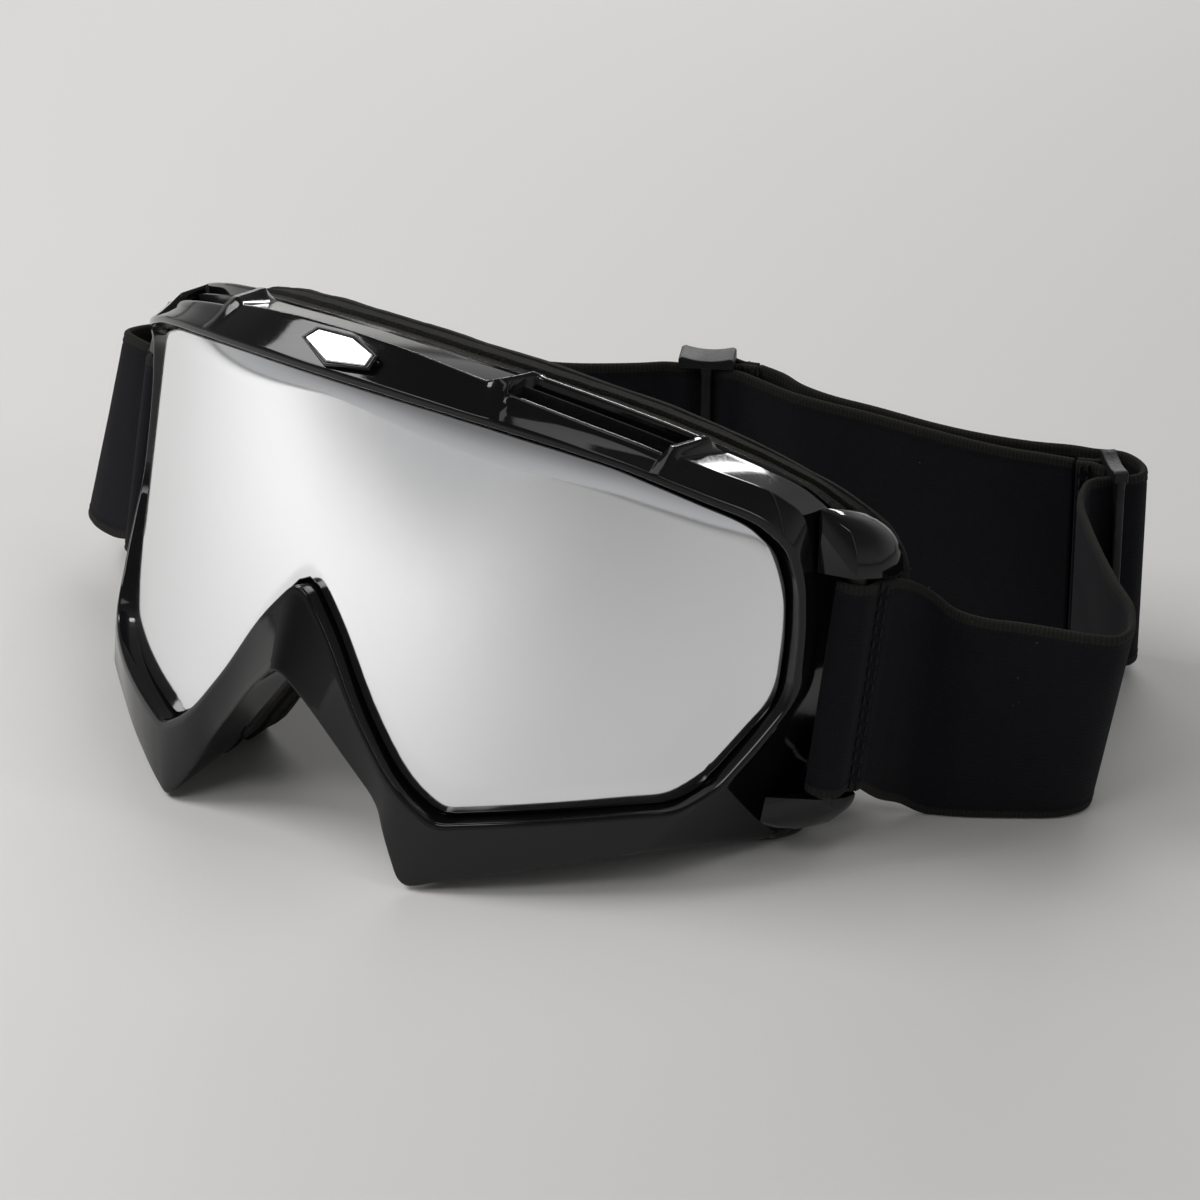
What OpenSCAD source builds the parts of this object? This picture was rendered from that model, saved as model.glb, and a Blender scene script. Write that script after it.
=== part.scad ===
// Motorcycle goggles: a moulded frame with a cylindrical mirror lens, a three-layer
// foam ring behind it, and an elastic strap with two three-bar sliders that stands
// on its edge on the table. Lengths are millimetres; the front looks along -Y,
// +X is the wearer's left, and the model stands on z = 0.

/* [Lens] */
// Radius of the cylinder that the lens is bent to
lens_r = 87.6; // [86:0.1:89]
// Thickness of the lens
lens_t = 1.2; // [0.8:0.1:1.4]
// How far the lens reaches into the groove of the frame
groove_depth = 3; // [2:0.5:3]

/* [Frame] */
// Height of the front lip above the lens face
lip_h = 3.4; // [2.5:0.1:4]
// Wall of the moulded shell
wall = 2.4; // [2:0.1:2.6]
// How far the frame leans back on the table, degrees
lean = 13.2; // [13:0.1:13.4]

/* [Foam] */
// Share of the foam depth taken by the firm base layer
base_share = 0.36; // [0.3:0.01:0.4]
// Share of the foam depth taken by the soft middle layer
middle_share = 0.4; // [0.3:0.01:0.45]

/* [Strap] */
// Thickness of the woven elastic
strap_t = 1.4; // [1.2:0.1:1.4]
// Diameter of the bars that the strap is looped over
bar_d = 4; // [3:0.5:4.5]
// Height of the strap's loops at the frame, between the brackets
loop_h = 42.6; // [40:0.2:42.6]
// Height of the sliders
slider_h = 47.6; // [47.6:0.1:48.4]
// Thickness of the slider's bars
slider_bar = 2.2; // [2:0.1:2.2]

/* [Hidden] */

// The origin is the middle of the whole object's footprint.
origin_x = 6.8;
origin_y = 84.3;

// Each station of the ring, from the top centre round the wearer's left to the nose:
// lens edge [u, w], front crease [u, v, w], rear rim [u, v, w], rim's inner edge [u, w],
// and the face side of the foam [u, v, w]. u runs across, v back and w up the lens.
STATIONS = [
    [[0, 95.1],    [0, 1.6, 103.7],   [0, 15, 102],     [0, 92],     [0, 27, 101]],
    [[12, 94.9],   [12, 2.6, 103.2],  [12, 16, 101.5],  [11.5, 92],  [12, 28, 100.7]],
    [[22.6, 94.3], [20.4, 4.1, 102.2],[22, 18.5, 100.5],[21.5, 91],  [22, 31, 99.8]],
    [[33, 93.3],   [31.5, 7.6, 100.2],[33, 23.5, 99],   [31.5, 90],  [33, 36.5, 97.9]],
    [[44, 91.7],   [45, 14.5, 97],    [45, 31, 96.5],   [43, 87.5],  [45, 44.5, 94.9]],
    [[54, 89.4],   [56, 22.8, 93.6],  [56, 39, 93.2],   [52, 84.5],  [56, 52.5, 91.2]],
    [[62.6, 85.9], [64, 29.8, 90.2],  [65, 47, 89.6],   [60, 81.5],  [65, 59.5, 87.2]],
    [[72, 81.2],   [74, 39.6, 86.8],  [73, 55, 85.5],   [66, 77.5],  [73, 66.5, 82.6]],
    [[75.8, 75.9], [78.8, 46.8, 82],  [78, 61, 80],     [70, 73],    [81, 73.5, 77]],
    [[77.6, 68],   [80.8, 49, 72],    [80, 64, 72],     [71.5, 67],  [84.6, 77.5, 69.5]],
    [[78.3, 58],   [82, 50, 61],      [80.5, 65, 60],   [72, 58],    [85, 79, 59]],
    [[78.4, 45.4], [82.8, 49.9, 47.9],[80.5, 65, 46],   [72, 46],    [83.5, 79.5, 46]],
    [[75.6, 37],   [79.3, 43.2, 37],  [80.5, 64.5, 36], [71.5, 37],  [82.5, 79.5, 36]],
    [[72, 28],     [74.8, 36.3, 28],  [80.5, 64, 27],   [70, 30],    [80.5, 79, 27]],
    [[68, 23.4],   [66.5, 25.5, 14.7],[80, 62.5, 14.8], [67, 25],    [77, 77, 19.2]],
    [[62.4, 22.3], [60.8, 21, 12.6],  [72, 55, 13.6],   [61.5, 23.5],[69, 69, 17.2]],
    [[51.1, 19.4], [48, 11.5, 7.8],   [57, 41, 11.5],   [51.5, 21.5],[56, 56, 14.4]],
    [[39, 16.4],   [36.5, 4.6, 3.5],  [42, 29, 8.5],    [41, 19],    [42, 43.5, 11.6]],
    [[32.8, 14.7], [29.1, 1.4, 0.4],  [31, 21, 6.4],    [35, 18.5],  [32, 35.5, 10.2]],
    [[26.5, 18.8], [23.6, 1.8, 9],    [25, 18.5, 11],   [30.5, 24],  [26, 32.5, 14.5]],
    [[22.5, 22.8], [20.8, 2, 15.2],   [21.5, 18, 17],   [26.5, 30],  [22, 31, 20]],
    [[15.4, 32.7], [13.8, -1.6, 23.5],[14.5, 16.5, 26], [20, 38.5],  [15, 28.8, 28.5]],
    [[8.3, 45.2],  [7, -4.8, 31.5],   [7.5, 15.5, 36],  [11.5, 49],  [8, 27.3, 37.5]],
    [[0, 55.5],    [0, -7.6, 38.2],   [0, 15, 43],      [0, 56.5],   [0, 26.8, 44]]
];

// The two pieces of elastic, each a list of [top point], [foot point] from the loop at
// the frame to the tail that is sewn to a slider.
LEFT_STRAP = [
    [[89.5, 78.6, 53.3], [89.1, 68.9, 11.8]],
    [[90.4, 84, 50.8],   [89.4, 75, 6.8]],
    [[92.8, 87.5, 47.8], [90.2, 81.8, 3]],
    [[97.6, 88.2, 45.2], [93.4, 85.5, 0.2]],
    [[104, 88.6, 45],    [98.5, 88.2, 0]],
    [[110.5, 91, 45],    [104, 91.6, 0]],
    [[117, 93, 45],      [109.5, 95.5, 0]],
    [[123, 94.6, 45],    [114.5, 99.4, 0]],
    [[127.6, 98, 44.5],  [117, 103, 0]],
    [[128.2, 101.8, 44.5],[117.6, 107, 0]],
    [[126.4, 106, 44.5], [115.8, 111, 0]],
    [[122.8, 111, 45],   [113, 115.5, 0]],
    [[115.4, 117.7, 45], [108, 121.5, 0]],
    [[106.4, 126.7, 45], [102, 129.5, 0]],
    [[98.1, 135.7, 45],  [96, 137.5, 0.2]],
    [[92, 143, 45.2],    [91.6, 143.6, 1]],
    [[89.2, 149.5, 45.6],[89.2, 149.5, 1.9]],
    [[89.4, 152.2, 45.7],[89.4, 152.2, 2]],
    [[90.8, 154.2, 45.7],[90.8, 154.2, 2]],
    [[92.56, 155.94, 45.7],[92.56, 155.94, 2]],
    [[94.3, 157.7, 45.7],[94.3, 157.7, 2]],
    [[95.6, 160, 45.7],  [95.6, 160, 2]],
    [[95, 162.8, 45.7],  [95, 162.8, 2]],
    [[92, 165.4, 45.7],  [92, 165.4, 2]],
    [[87.4, 166.6, 45.7],[87.4, 166.6, 2]],
    [[82.1, 164.6, 45.6],[82.1, 164.6, 1.6]],
    [[77, 163.6, 45.4],  [77, 163.6, 1]],
    [[69, 161, 45],      [69, 161, 0.2]],
    [[59, 158.2, 45],    [59, 158.2, 0]],
    [[48, 156.6, 45],    [48, 156.6, 0]],
    [[34, 156, 45],      [34, 156, 0]],
    [[24, 155.2, 45],    [24, 155.2, 0]],
    [[16, 155.6, 45.2],  [16, 155.6, 0.6]],
    [[10, 157.2, 45.6],  [10, 157.2, 1.6]],
    [[3.7, 157.9, 45.7], [3.7, 157.9, 2]]
];
RIGHT_STRAP = [
    [[-93.9, 74.8, 54.2],[-93.8, 65.1, 12.7]],
    [[-98.4, 75.4, 54.4],[-100, 66.7, 10.8]],
    [[-103.4, 77.7, 53.8],[-108, 69.6, 10]],
    [[-106, 82, 52.4],   [-113.5, 74.4, 9.6]],
    [[-105.6, 88.5, 51], [-114.5, 82, 8.2]],
    [[-102.6, 96, 48.8], [-110.5, 92, 5]],
    [[-98, 103, 46.6],   [-103.5, 101.5, 1.8]],
    [[-92, 109, 45.2],   [-95, 108.5, 0.2]],
    [[-84.6, 114, 45],   [-85.6, 113.6, 0]],
    [[-76, 118, 45],     [-76, 118, 0]],
    [[-62, 122.4, 45],   [-62, 122.4, 0]],
    [[-50.9, 126.8, 45], [-50.9, 126.8, 0]],
    [[-40.7, 130.8, 45], [-40.7, 130.8, 0]],
    [[-31, 134.8, 45.2], [-31, 134.8, 0.4]],
    [[-24, 139, 45.4],   [-24, 139, 1]],
    [[-17.6, 143.6, 45.6],[-17.6, 143.6, 1.8]],
    [[-13.6, 147.06, 45.7],[-13.6, 147.06, 2]],
    [[-9.6, 149.2, 45.7],[-9.6, 149.2, 2]],
    [[-6.3, 152.1, 45.7],[-6.3, 152.1, 2]],
    [[-1.6, 151.7, 45.7],[-1.6, 151.7, 2]],
    [[2.5, 152.6, 45.6], [2.5, 152.6, 1.6]],
    [[8, 152.4, 45.2],   [8, 152.4, 0.6]],
    [[16, 151.6, 45],    [16, 151.6, 0]],
    [[24, 151.8, 45],    [24, 151.8, 0]],
    [[34, 152.8, 45],    [34, 152.8, 0]],
    [[48, 153.6, 45],    [48, 153.6, 0]],
    [[59, 154.4, 45],    [59, 154.4, 0]],
    [[68, 155.4, 45.2],  [68, 155.4, 0.6]],
    [[75, 156.6, 45.6],  [75, 156.6, 1.6]],
    [[81.4, 158, 45.7],  [81.4, 158, 2]]
];
// Where each piece of elastic is cut into a side, a back and two halves of its tail.
LEFT_CUTS = [0, 8, 19, 29, 34];
RIGHT_CUTS = [0, 9, 18, 25, 29];

// The sliders: middle of each on the table and direction of its width.
centre_at = [-6.2, 152.3];
centre_dir = 29;
side_at = [91, 157.5];
side_dir = 135;
// Each slider's bars, across its width and its depth: the last one holds the sewn tail.
bar_pitch = 4.4;
CENTRE_BARS = [[-bar_pitch, 1.3], [0, -2.4], [bar_pitch, 1.3]];
SIDE_BARS = [[-bar_pitch, 0], [0, 0], [bar_pitch, 0]];

// The bars in the frame's sides, in the lens's own [u, v].
bar_at = [86.6, 55.5];
bar_foot = 24;
bar_len = 50;
loop_foot = 27.2;
bar_clear = 0.3;

// The table's spans are divided, so that the groove follows the lens's cylinder.
span_steps = 3;

// ---- small helpers ----
function flip(p) = [-p[0], p[1], p[2]];
function unit2(p) = p / norm(p);
function ahead(list, i) = list[min(i + 1, len(list) - 1)] - list[max(i - 1, 0)];
function across(p) = let (q = unit2([p[0], p[1]])) [q[1], -q[0], 0];
function on_lens(s, w, r) = [r * sin(s), lens_r - r * cos(s), w];
function arc_of(u, v) = atan2(u, lens_r - v);
// Points of a Catmull-Rom curve through a hand-chosen list, n steps to a span.
function spline_at(a, b, c, d, t) =
    0.5 * (2 * b + (c - a) * t + (2 * a - 5 * b + 4 * c - d) * t * t
    + (3 * b - a - 3 * c + d) * t * t * t);
function smooth(list, n) = [
    for (i = [0 : len(list) - 2], k = [0 : n - 1])
        spline_at(list[max(i - 1, 0)], list[i], list[i + 1], list[min(i + 2, len(list) - 1)], k / n),
    list[len(list) - 1]
];

// A closed ring through sections of m points each, as triangles. The strip of faces that
// starts at point "other" is split along its other diagonal, to lie flat on its neighbour.
module ring_solid(sections, other = -1) {
    m = len(sections[0]);
    n = len(sections);
    points = [for (s = sections, p = s) p];
    faces = [
        for (i = [0 : n - 1], j = [0 : m - 1])
            let (a = i * m + j, b = i * m + (j + 1) % m,
                 c = ((i + 1) % n) * m + (j + 1) % m, d = ((i + 1) % n) * m + j)
                each j == other ? [[a, b, d], [b, c, d]] : [[a, b, c], [a, c, d]]
    ];
    polyhedron(points, faces, convexity = 8);
}

// A sweep with closed ends through sections of m points each.
module sweep_solid(sections) {
    m = len(sections[0]);
    n = len(sections);
    points = [for (s = sections, p = s) p];
    sides = [
        for (i = [0 : n - 2], j = [0 : m - 1])
            let (a = i * m + j, b = i * m + (j + 1) % m,
                 c = (i + 1) * m + (j + 1) % m, d = (i + 1) * m + j)
                each [[a, b, c], [a, c, d]]
    ];
    first = [for (j = [m - 1 : -1 : 0]) j];
    last = [for (j = [0 : m - 1]) (n - 1) * m + j];
    polyhedron(points, concat([first], sides, [last]), convexity = 8);
}

// A closed ring from half of its sections: the other half is mirrored.
function mirrored(list) =
    concat(list, [for (i = [len(list) - 2 : -1 : 1]) [for (p = list[i]) flip(p)]]);

module leaned() { translate([-origin_x, -origin_y, 0]) rotate([-lean, 0, 0]) children(); }
module on_table() { translate([-origin_x, -origin_y, 0]) children(); }

// A station between two of the table's.
function between(t) =
    let (i = floor(t), f = t - i)
        f == 0 ? STATIONS[i] : [for (k = [0 : 4]) STATIONS[i][k] * (1 - f) + STATIONS[i + 1][k] * f];
RING = [for (k = [0 : span_steps * (len(STATIONS) - 1)]) between(k / span_steps)];

// ---- the frame ----
// A point of the ring, measured from the lens edge: mm outward along the lens, and radius.
function edge_dir(st) =
    let (s0 = asin(st[0][0] / lens_r), s1 = arc_of(st[1][0], st[1][1]))
        unit2([(s1 - s0) * PI / 180 * lens_r, st[1][2] - st[0][1]]);
function at_edge(st, outward, r) =
    let (d = edge_dir(st) * outward)
        on_lens(asin(st[0][0] / lens_r) + d[0] / lens_r * 180 / PI, st[0][1] + d[1], r);
// The inner edge of the rear rim lies a little further forward than its outer edge.
function rim_inner(st) = [st[3][0], st[2][1] * 0.95, st[3][1]];
function rim_step(st, inward) =
    let (d = rim_inner(st) - st[2]) st[2] + unit2(d) * inward - [0, wall, 0];
function frame_section(st) = [
    at_edge(st, 0, lens_r + lip_h),
    at_edge(st, 1.4, lens_r + lip_h + 0.3),
    st[1],
    st[2],
    rim_inner(st),
    rim_inner(st) - [0, wall, 0],
    rim_step(st, wall),
    at_edge(st, groove_depth + 1, lens_r - lens_t - wall),
    at_edge(st, 0, lens_r - lens_t - wall),
    at_edge(st, 0, lens_r - lens_t - 0.1),
    at_edge(st, groove_depth + 0.2, lens_r - lens_t - 0.1),
    at_edge(st, groove_depth + 0.2, lens_r + 0.1),
    at_edge(st, 0, lens_r + 0.1)
];

// A quadrilateral between the front crease and the rear rim: shares of that face, and
// how far it stands over the face and reaches below it.
function face_quad(t, out, low, high, top, bottom) =
    let (st = between(t), a = st[1] + (st[2] - st[1]) * low, b = st[1] + (st[2] - st[1]) * high)
        [a + out * top, b + out * top, b - out * bottom, a - out * bottom];
TOP_OUT = [0.2, -0.2, 0.96];
FOOT_OUT = [0.15, 0.1, -0.98];
module vent_strip(spans, out, low, high, top, bottom) {
    sweep_solid([for (t = spans) face_quad(t, out, low, high, top, bottom)]);
}

// The brackets above and below the strap, where the side bar ends.
UPPER_WING = [
    [79.2, 49.6, 82.6], [76, 57, 82], [88, 60, 77.6], [90, 62.5, 72],
    [88, 54, 71.6], [80.6, 50.4, 72], [79, 60.5, 72.4], [78, 58.5, 79]
];
LOWER_WING = [
    [80.4, 50, 26], [88, 54, 25.4], [89.4, 62, 25.4], [79, 60.5, 24],
    [79, 58, 17.4], [86, 58.5, 20], [77, 45, 21.4], [79, 45, 25.4]
];
module wing(corners) { hull() for (p = corners) translate(p) sphere(r = 1, $fn = 10); }

module frame_shell() color([0.02, 0.02, 0.022]) leaned() {
    difference() {
        union() {
            ring_solid(mirrored([for (st = RING) frame_section(st)]));
            for (side = [0, 1]) mirror([side, 0, 0]) {
                wing(UPPER_WING);
                wing(LOWER_WING);
            }
        }
        for (side = [0, 1]) mirror([side, 0, 0]) {
            vent_strip([3.15, 4, 5, 5.4], TOP_OUT, 0.14, 0.56, 4, 9);
            vent_strip([15.2, 15.9, 16.7], FOOT_OUT, 0.3, 0.62, 4, 9);
        }
    }
}

// ---- lens and badge ----
function lens_edge(st) =
    let (p = at_edge(st, groove_depth, lens_r - lens_t)) [p[0], p[2]];
module lens() color([0.75, 0.77, 0.8]) leaned() {
    right = [for (st = RING) lens_edge(st)];
    left = [for (i = [len(right) - 2 : -1 : 1]) [-right[i][0], right[i][1]]];
    intersection() {
        translate([0, lens_r, 0]) difference() {
            cylinder(r = lens_r, h = 110, $fn = 180);
            translate([0, 0, -1]) cylinder(r = lens_r - lens_t, h = 112, $fn = 180);
        }
        translate([0, 70, 0]) rotate([90, 0, 0]) linear_extrude(90) polygon(concat(right, left));
    }
}

BADGE = [[-8, 0.2], [-6, 2.7], [2, 3], [8, 1], [7.6, -1.6], [-1, -3]];
module front_badge() color([0.9, 0.9, 0.92]) leaned()
    translate([1.4, -1.3, 100]) rotate([54, 0, 0]) linear_extrude(1.3) polygon(BADGE);

// ---- the foam ring ----
function foam_section(st, near, far) =
    let (step = st[4] - st[2], out = st[2], in = rim_inner(st))
        [out + step * near, out + step * far, in + step * far, in + step * near];
module foam_layer(near, far) {
    leaned() ring_solid(mirrored([for (st = RING) foam_section(st, near, far)]), 3);
}
layer_gap = 0.008;
module foam_base() color([0.13, 0.12, 0.11]) foam_layer(layer_gap, base_share);
module foam_middle() color([0.1, 0.09, 0.085])
    foam_layer(base_share + layer_gap, base_share + middle_share);
module foam_fleece() color([0.07, 0.065, 0.06])
    foam_layer(base_share + middle_share + layer_gap, 1);

// ---- vents ----
module vent_louvre(side) color([0.03, 0.03, 0.03]) leaned() mirror([side, 0, 0])
    vent_strip([3.1, 4, 5, 5.45], TOP_OUT, 0.3, 0.38, -0.4, 2.4);
module vent_filter_top(side) color([0.15, 0.15, 0.15]) leaned() mirror([side, 0, 0])
    vent_strip([3.17, 4, 5, 5.38], TOP_OUT, 0.17, 0.53, -2.6, 4.4);
module vent_filter_bottom(side) color([0.15, 0.15, 0.15]) leaned() mirror([side, 0, 0])
    vent_strip([15.22, 15.9, 16.68], FOOT_OUT, 0.33, 0.59, -0.8, 2.4);

// ---- strap bars and the sewn loops over them ----
module strap_bar(side) color([0.05, 0.05, 0.05]) leaned() mirror([side, 0, 0])
    translate([bar_at[0], bar_at[1], bar_foot]) cylinder(d = bar_d, h = bar_len, $fn = 48);

// Elastic sewn round a bar: a round eye and a tab of two layers, seen from above.
module sewn_loop(bar_r, tab, turn, h) {
    linear_extrude(h) difference() {
        union() {
            circle(r = bar_r + strap_t, $fn = 64);
            rotate(turn) translate([0, -strap_t]) square([tab, 2 * strap_t]);
        }
        circle(r = bar_r, $fn = 64);
    }
}
stitch_d = 0.6;
stitch_end = 1.5;
module stitch_rows(tab, turn, h) {
    for (face = [-1, 1], k = [0, 1]) rotate(turn)
        translate([tab - 0.8 - k * 1.6, face * (strap_t + stitch_d / 2 + 0.02), stitch_end])
            cylinder(d = stitch_d, h = h - 2 * stitch_end, $fn = 16);
}

LOOP_TURN = [73, 35];
loop_tab = 7.8;
module at_bar(side)
    leaned() mirror([side, 0, 0]) translate([bar_at[0], bar_at[1], loop_foot]) children();
module strap_loop(side) color([0.1, 0.1, 0.11]) at_bar(side)
    sewn_loop(bar_d / 2 + bar_clear, loop_tab, LOOP_TURN[side], loop_h);
module loop_stitching(side) color([0.2, 0.2, 0.22]) at_bar(side)
    stitch_rows(loop_tab, LOOP_TURN[side], loop_h);

// ---- the elastic ----
function band_section(tops, feet, i) =
    let (n_top = across(ahead(tops, i)) * strap_t / 2, n_foot = across(ahead(feet, i)) * strap_t / 2)
        [tops[i] + n_top, tops[i] - n_top, feet[i] - n_foot, feet[i] + n_foot];
band_steps = 3;
module band(run, cuts, part) {
    tops = smooth([for (r = run) r[0]], band_steps);
    feet = [for (p = smooth([for (r = run) r[1]], band_steps)) [p[0], p[1], max(p[2], 0)]];
    color([0.1, 0.1, 0.11]) on_table() sweep_solid([
        for (i = [cuts[part] * band_steps : cuts[part + 1] * band_steps]) band_section(tops, feet, i)
    ]);
}

// ---- sliders ----
module slider_at(at, turn) { on_table() translate([at[0], at[1], 0]) rotate([0, 0, turn]) children(); }
rail = 1.8;
rail_margin = 0.4;
peak = 1;
slider_w = 2 * bar_pitch + slider_bar + 2 * rail_margin;
module slider_body(bars) {
    depths = [for (b = bars) b[1]];
    back = max(depths) + slider_bar / 2 + rail_margin;
    front = min(depths) - slider_bar / 2 - rail_margin;
    for (b = bars) translate([b[0], b[1], rail / 2])
        cylinder(d = slider_bar, h = slider_h - rail, $fn = 32);
    translate([-slider_w / 2, front, 0]) cube([slider_w, back - front, rail]);
    translate([0, back, slider_h - rail]) rotate([90, 0, 0]) linear_extrude(back - front)
        polygon([
            [-slider_w / 2, 0], [slider_w / 2, 0], [slider_w / 2, rail + 0.4 * peak],
            [slider_w / 2 - 1, rail + peak], [slider_w / 5, rail + 0.2 * peak],
            [-slider_w / 5, rail + 0.2 * peak], [1 - slider_w / 2, rail + peak],
            [-slider_w / 2, rail + 0.4 * peak]
        ]);
}
module slider_centre() color([0.12, 0.12, 0.125]) slider_at(centre_at, centre_dir) slider_body(CENTRE_BARS);
module slider_side() color([0.12, 0.12, 0.125]) slider_at(side_at, side_dir) slider_body(SIDE_BARS);

// A tail of elastic is sewn round the last bar of each slider.
tail_foot = rail + 0.15;
tail_h = slider_h - 2 * rail - 0.3;
tail_r = slider_bar / 2 + 0.2;
tail_tab = 6.5;
CENTRE_TURN = 19 - centre_dir;
SIDE_TURN = 202 - side_dir;
module at_tail(at, turn, bars)
    slider_at(at, turn) translate([bars[2][0], bars[2][1], tail_foot]) children();
module tail_loop_centre() color([0.1, 0.1, 0.11]) at_tail(centre_at, centre_dir, CENTRE_BARS)
    sewn_loop(tail_r, tail_tab, CENTRE_TURN, tail_h);
module tail_loop_side() color([0.1, 0.1, 0.11]) at_tail(side_at, side_dir, SIDE_BARS)
    sewn_loop(tail_r, tail_tab, SIDE_TURN, tail_h);
module tail_stitching_centre() color([0.2, 0.2, 0.22]) at_tail(centre_at, centre_dir, CENTRE_BARS)
    stitch_rows(tail_tab, CENTRE_TURN, tail_h);
module tail_stitching_side() color([0.2, 0.2, 0.22]) at_tail(side_at, side_dir, SIDE_BARS)
    stitch_rows(tail_tab, SIDE_TURN, tail_h);

frame_shell();
lens();
front_badge();
foam_base();
foam_middle();
foam_fleece();
vent_louvre(0);  // vent_louvre_left
vent_louvre(1);  // vent_louvre_right
vent_filter_top(0);  // vent_filter_top_left
vent_filter_top(1);  // vent_filter_top_right
vent_filter_bottom(0);  // vent_filter_bottom_left
vent_filter_bottom(1);  // vent_filter_bottom_right
strap_bar(0);  // strap_bar_left
strap_bar(1);  // strap_bar_right
strap_loop(0);  // strap_loop_left
strap_loop(1);  // strap_loop_right
loop_stitching(0);  // loop_stitching_left
loop_stitching(1);  // loop_stitching_right
band(LEFT_STRAP, LEFT_CUTS, 0);  // strap_left_side
band(LEFT_STRAP, LEFT_CUTS, 1);  // strap_left_back
band(RIGHT_STRAP, RIGHT_CUTS, 0);  // strap_right_side
band(RIGHT_STRAP, RIGHT_CUTS, 1);  // strap_right_back
band(LEFT_STRAP, LEFT_CUTS, 2);  // tail_outer_side
band(LEFT_STRAP, LEFT_CUTS, 3);  // tail_outer_centre
band(RIGHT_STRAP, RIGHT_CUTS, 3);  // tail_inner_side
band(RIGHT_STRAP, RIGHT_CUTS, 2);  // tail_inner_centre
slider_centre();
slider_side();
tail_loop_centre();
tail_loop_side();
tail_stitching_centre();
tail_stitching_side();
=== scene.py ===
# %% [markdown]
# Off-road motorcycle goggles, built round a finished CAD model. The CAD part settles every
# size, joint and place, so this lesson only gives each piece its real surface: a glossy
# moulded frame, a silver mirror pane, layered face foam and a woven elastic strap.
# Blender works in metres here, and the lesson's own lengths are in millimetres.

# %% Load the frame
import math
import bpy
import bmesh
import numpy as np
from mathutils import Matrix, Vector, noise


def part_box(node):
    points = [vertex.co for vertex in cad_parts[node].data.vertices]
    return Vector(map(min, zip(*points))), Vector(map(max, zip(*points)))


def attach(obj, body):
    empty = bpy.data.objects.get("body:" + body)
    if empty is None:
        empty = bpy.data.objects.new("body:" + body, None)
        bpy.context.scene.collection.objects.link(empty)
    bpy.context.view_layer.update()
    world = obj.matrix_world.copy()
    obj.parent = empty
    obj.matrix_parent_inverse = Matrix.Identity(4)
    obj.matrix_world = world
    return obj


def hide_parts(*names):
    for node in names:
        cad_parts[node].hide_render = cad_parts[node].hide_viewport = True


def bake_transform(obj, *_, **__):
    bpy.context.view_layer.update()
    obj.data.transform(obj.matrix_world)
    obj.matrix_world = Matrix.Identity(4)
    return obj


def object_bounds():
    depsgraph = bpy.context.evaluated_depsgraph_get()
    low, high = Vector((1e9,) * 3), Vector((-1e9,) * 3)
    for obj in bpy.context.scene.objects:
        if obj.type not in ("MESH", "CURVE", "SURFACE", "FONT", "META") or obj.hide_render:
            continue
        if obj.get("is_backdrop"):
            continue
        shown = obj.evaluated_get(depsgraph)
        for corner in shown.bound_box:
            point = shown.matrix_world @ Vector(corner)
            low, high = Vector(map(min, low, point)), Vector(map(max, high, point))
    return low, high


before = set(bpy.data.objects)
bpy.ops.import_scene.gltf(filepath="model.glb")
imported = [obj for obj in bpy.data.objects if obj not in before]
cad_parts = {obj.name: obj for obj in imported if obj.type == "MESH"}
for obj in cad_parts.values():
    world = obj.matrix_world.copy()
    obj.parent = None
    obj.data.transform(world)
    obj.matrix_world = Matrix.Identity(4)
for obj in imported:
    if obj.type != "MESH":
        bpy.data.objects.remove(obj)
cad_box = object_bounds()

MM = 0.001
print("nodes:", len(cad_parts))

# %% [markdown]
# The goggles stand on the table with the lens leaning back. It is easiest to think in the
# lens's own directions: u across the face, v back from the lens and w up the lens. One
# function turns such points, in millimetres, into places in the scene.

# %% Places on the goggles
ORIGIN = np.array([6.8, 84.3, 0.0])
LEAN = math.radians(13.2)


def table(points):
    """Points measured from the goggles' own middle, in mm, as places in the scene."""
    return (np.asarray(points, float) - ORIGIN) * MM


def leaned(points):
    """Points in u, v, w, in mm, as places in the scene."""
    p = np.asarray(points, float)
    u, v, w = p[..., 0], p[..., 1], p[..., 2]
    y = v * math.cos(LEAN) + w * math.sin(LEAN)
    z = w * math.cos(LEAN) - v * math.sin(LEAN)
    return table(np.stack([u, y, z], -1))


middle = sum(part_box("frame_shell")[k][0] for k in (0, 1)) / 2
print("plane of symmetry off by", round((middle / MM + ORIGIN[0]), 3), "mm")

# %% [markdown]
# The camera looks at the goggles from the wearer's left, a little above them, through a
# long lens, so that the near end of the strap isn't much larger than the far end.

# %% Camera
def placed(name, data):
    """An object in the scene that shows this mesh, lamp or camera."""
    made = bpy.data.objects.new(name, data)
    bpy.context.scene.collection.objects.link(made)
    return made


camera = placed("camera", bpy.data.cameras.new("camera"))
camera.location = table([537.6, -621.1, 474.7])
camera.rotation_euler = (math.radians(62.8), 0, math.radians(36.5))
camera.data.lens = 146.5
camera.data.sensor_width = 36
bpy.context.scene.camera = camera

# %% [markdown]
# Every finish is a small network of nodes. This class wraps one socket, so that a mask or
# a height can be written as ordinary arithmetic; each operation adds its Math node.

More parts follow.
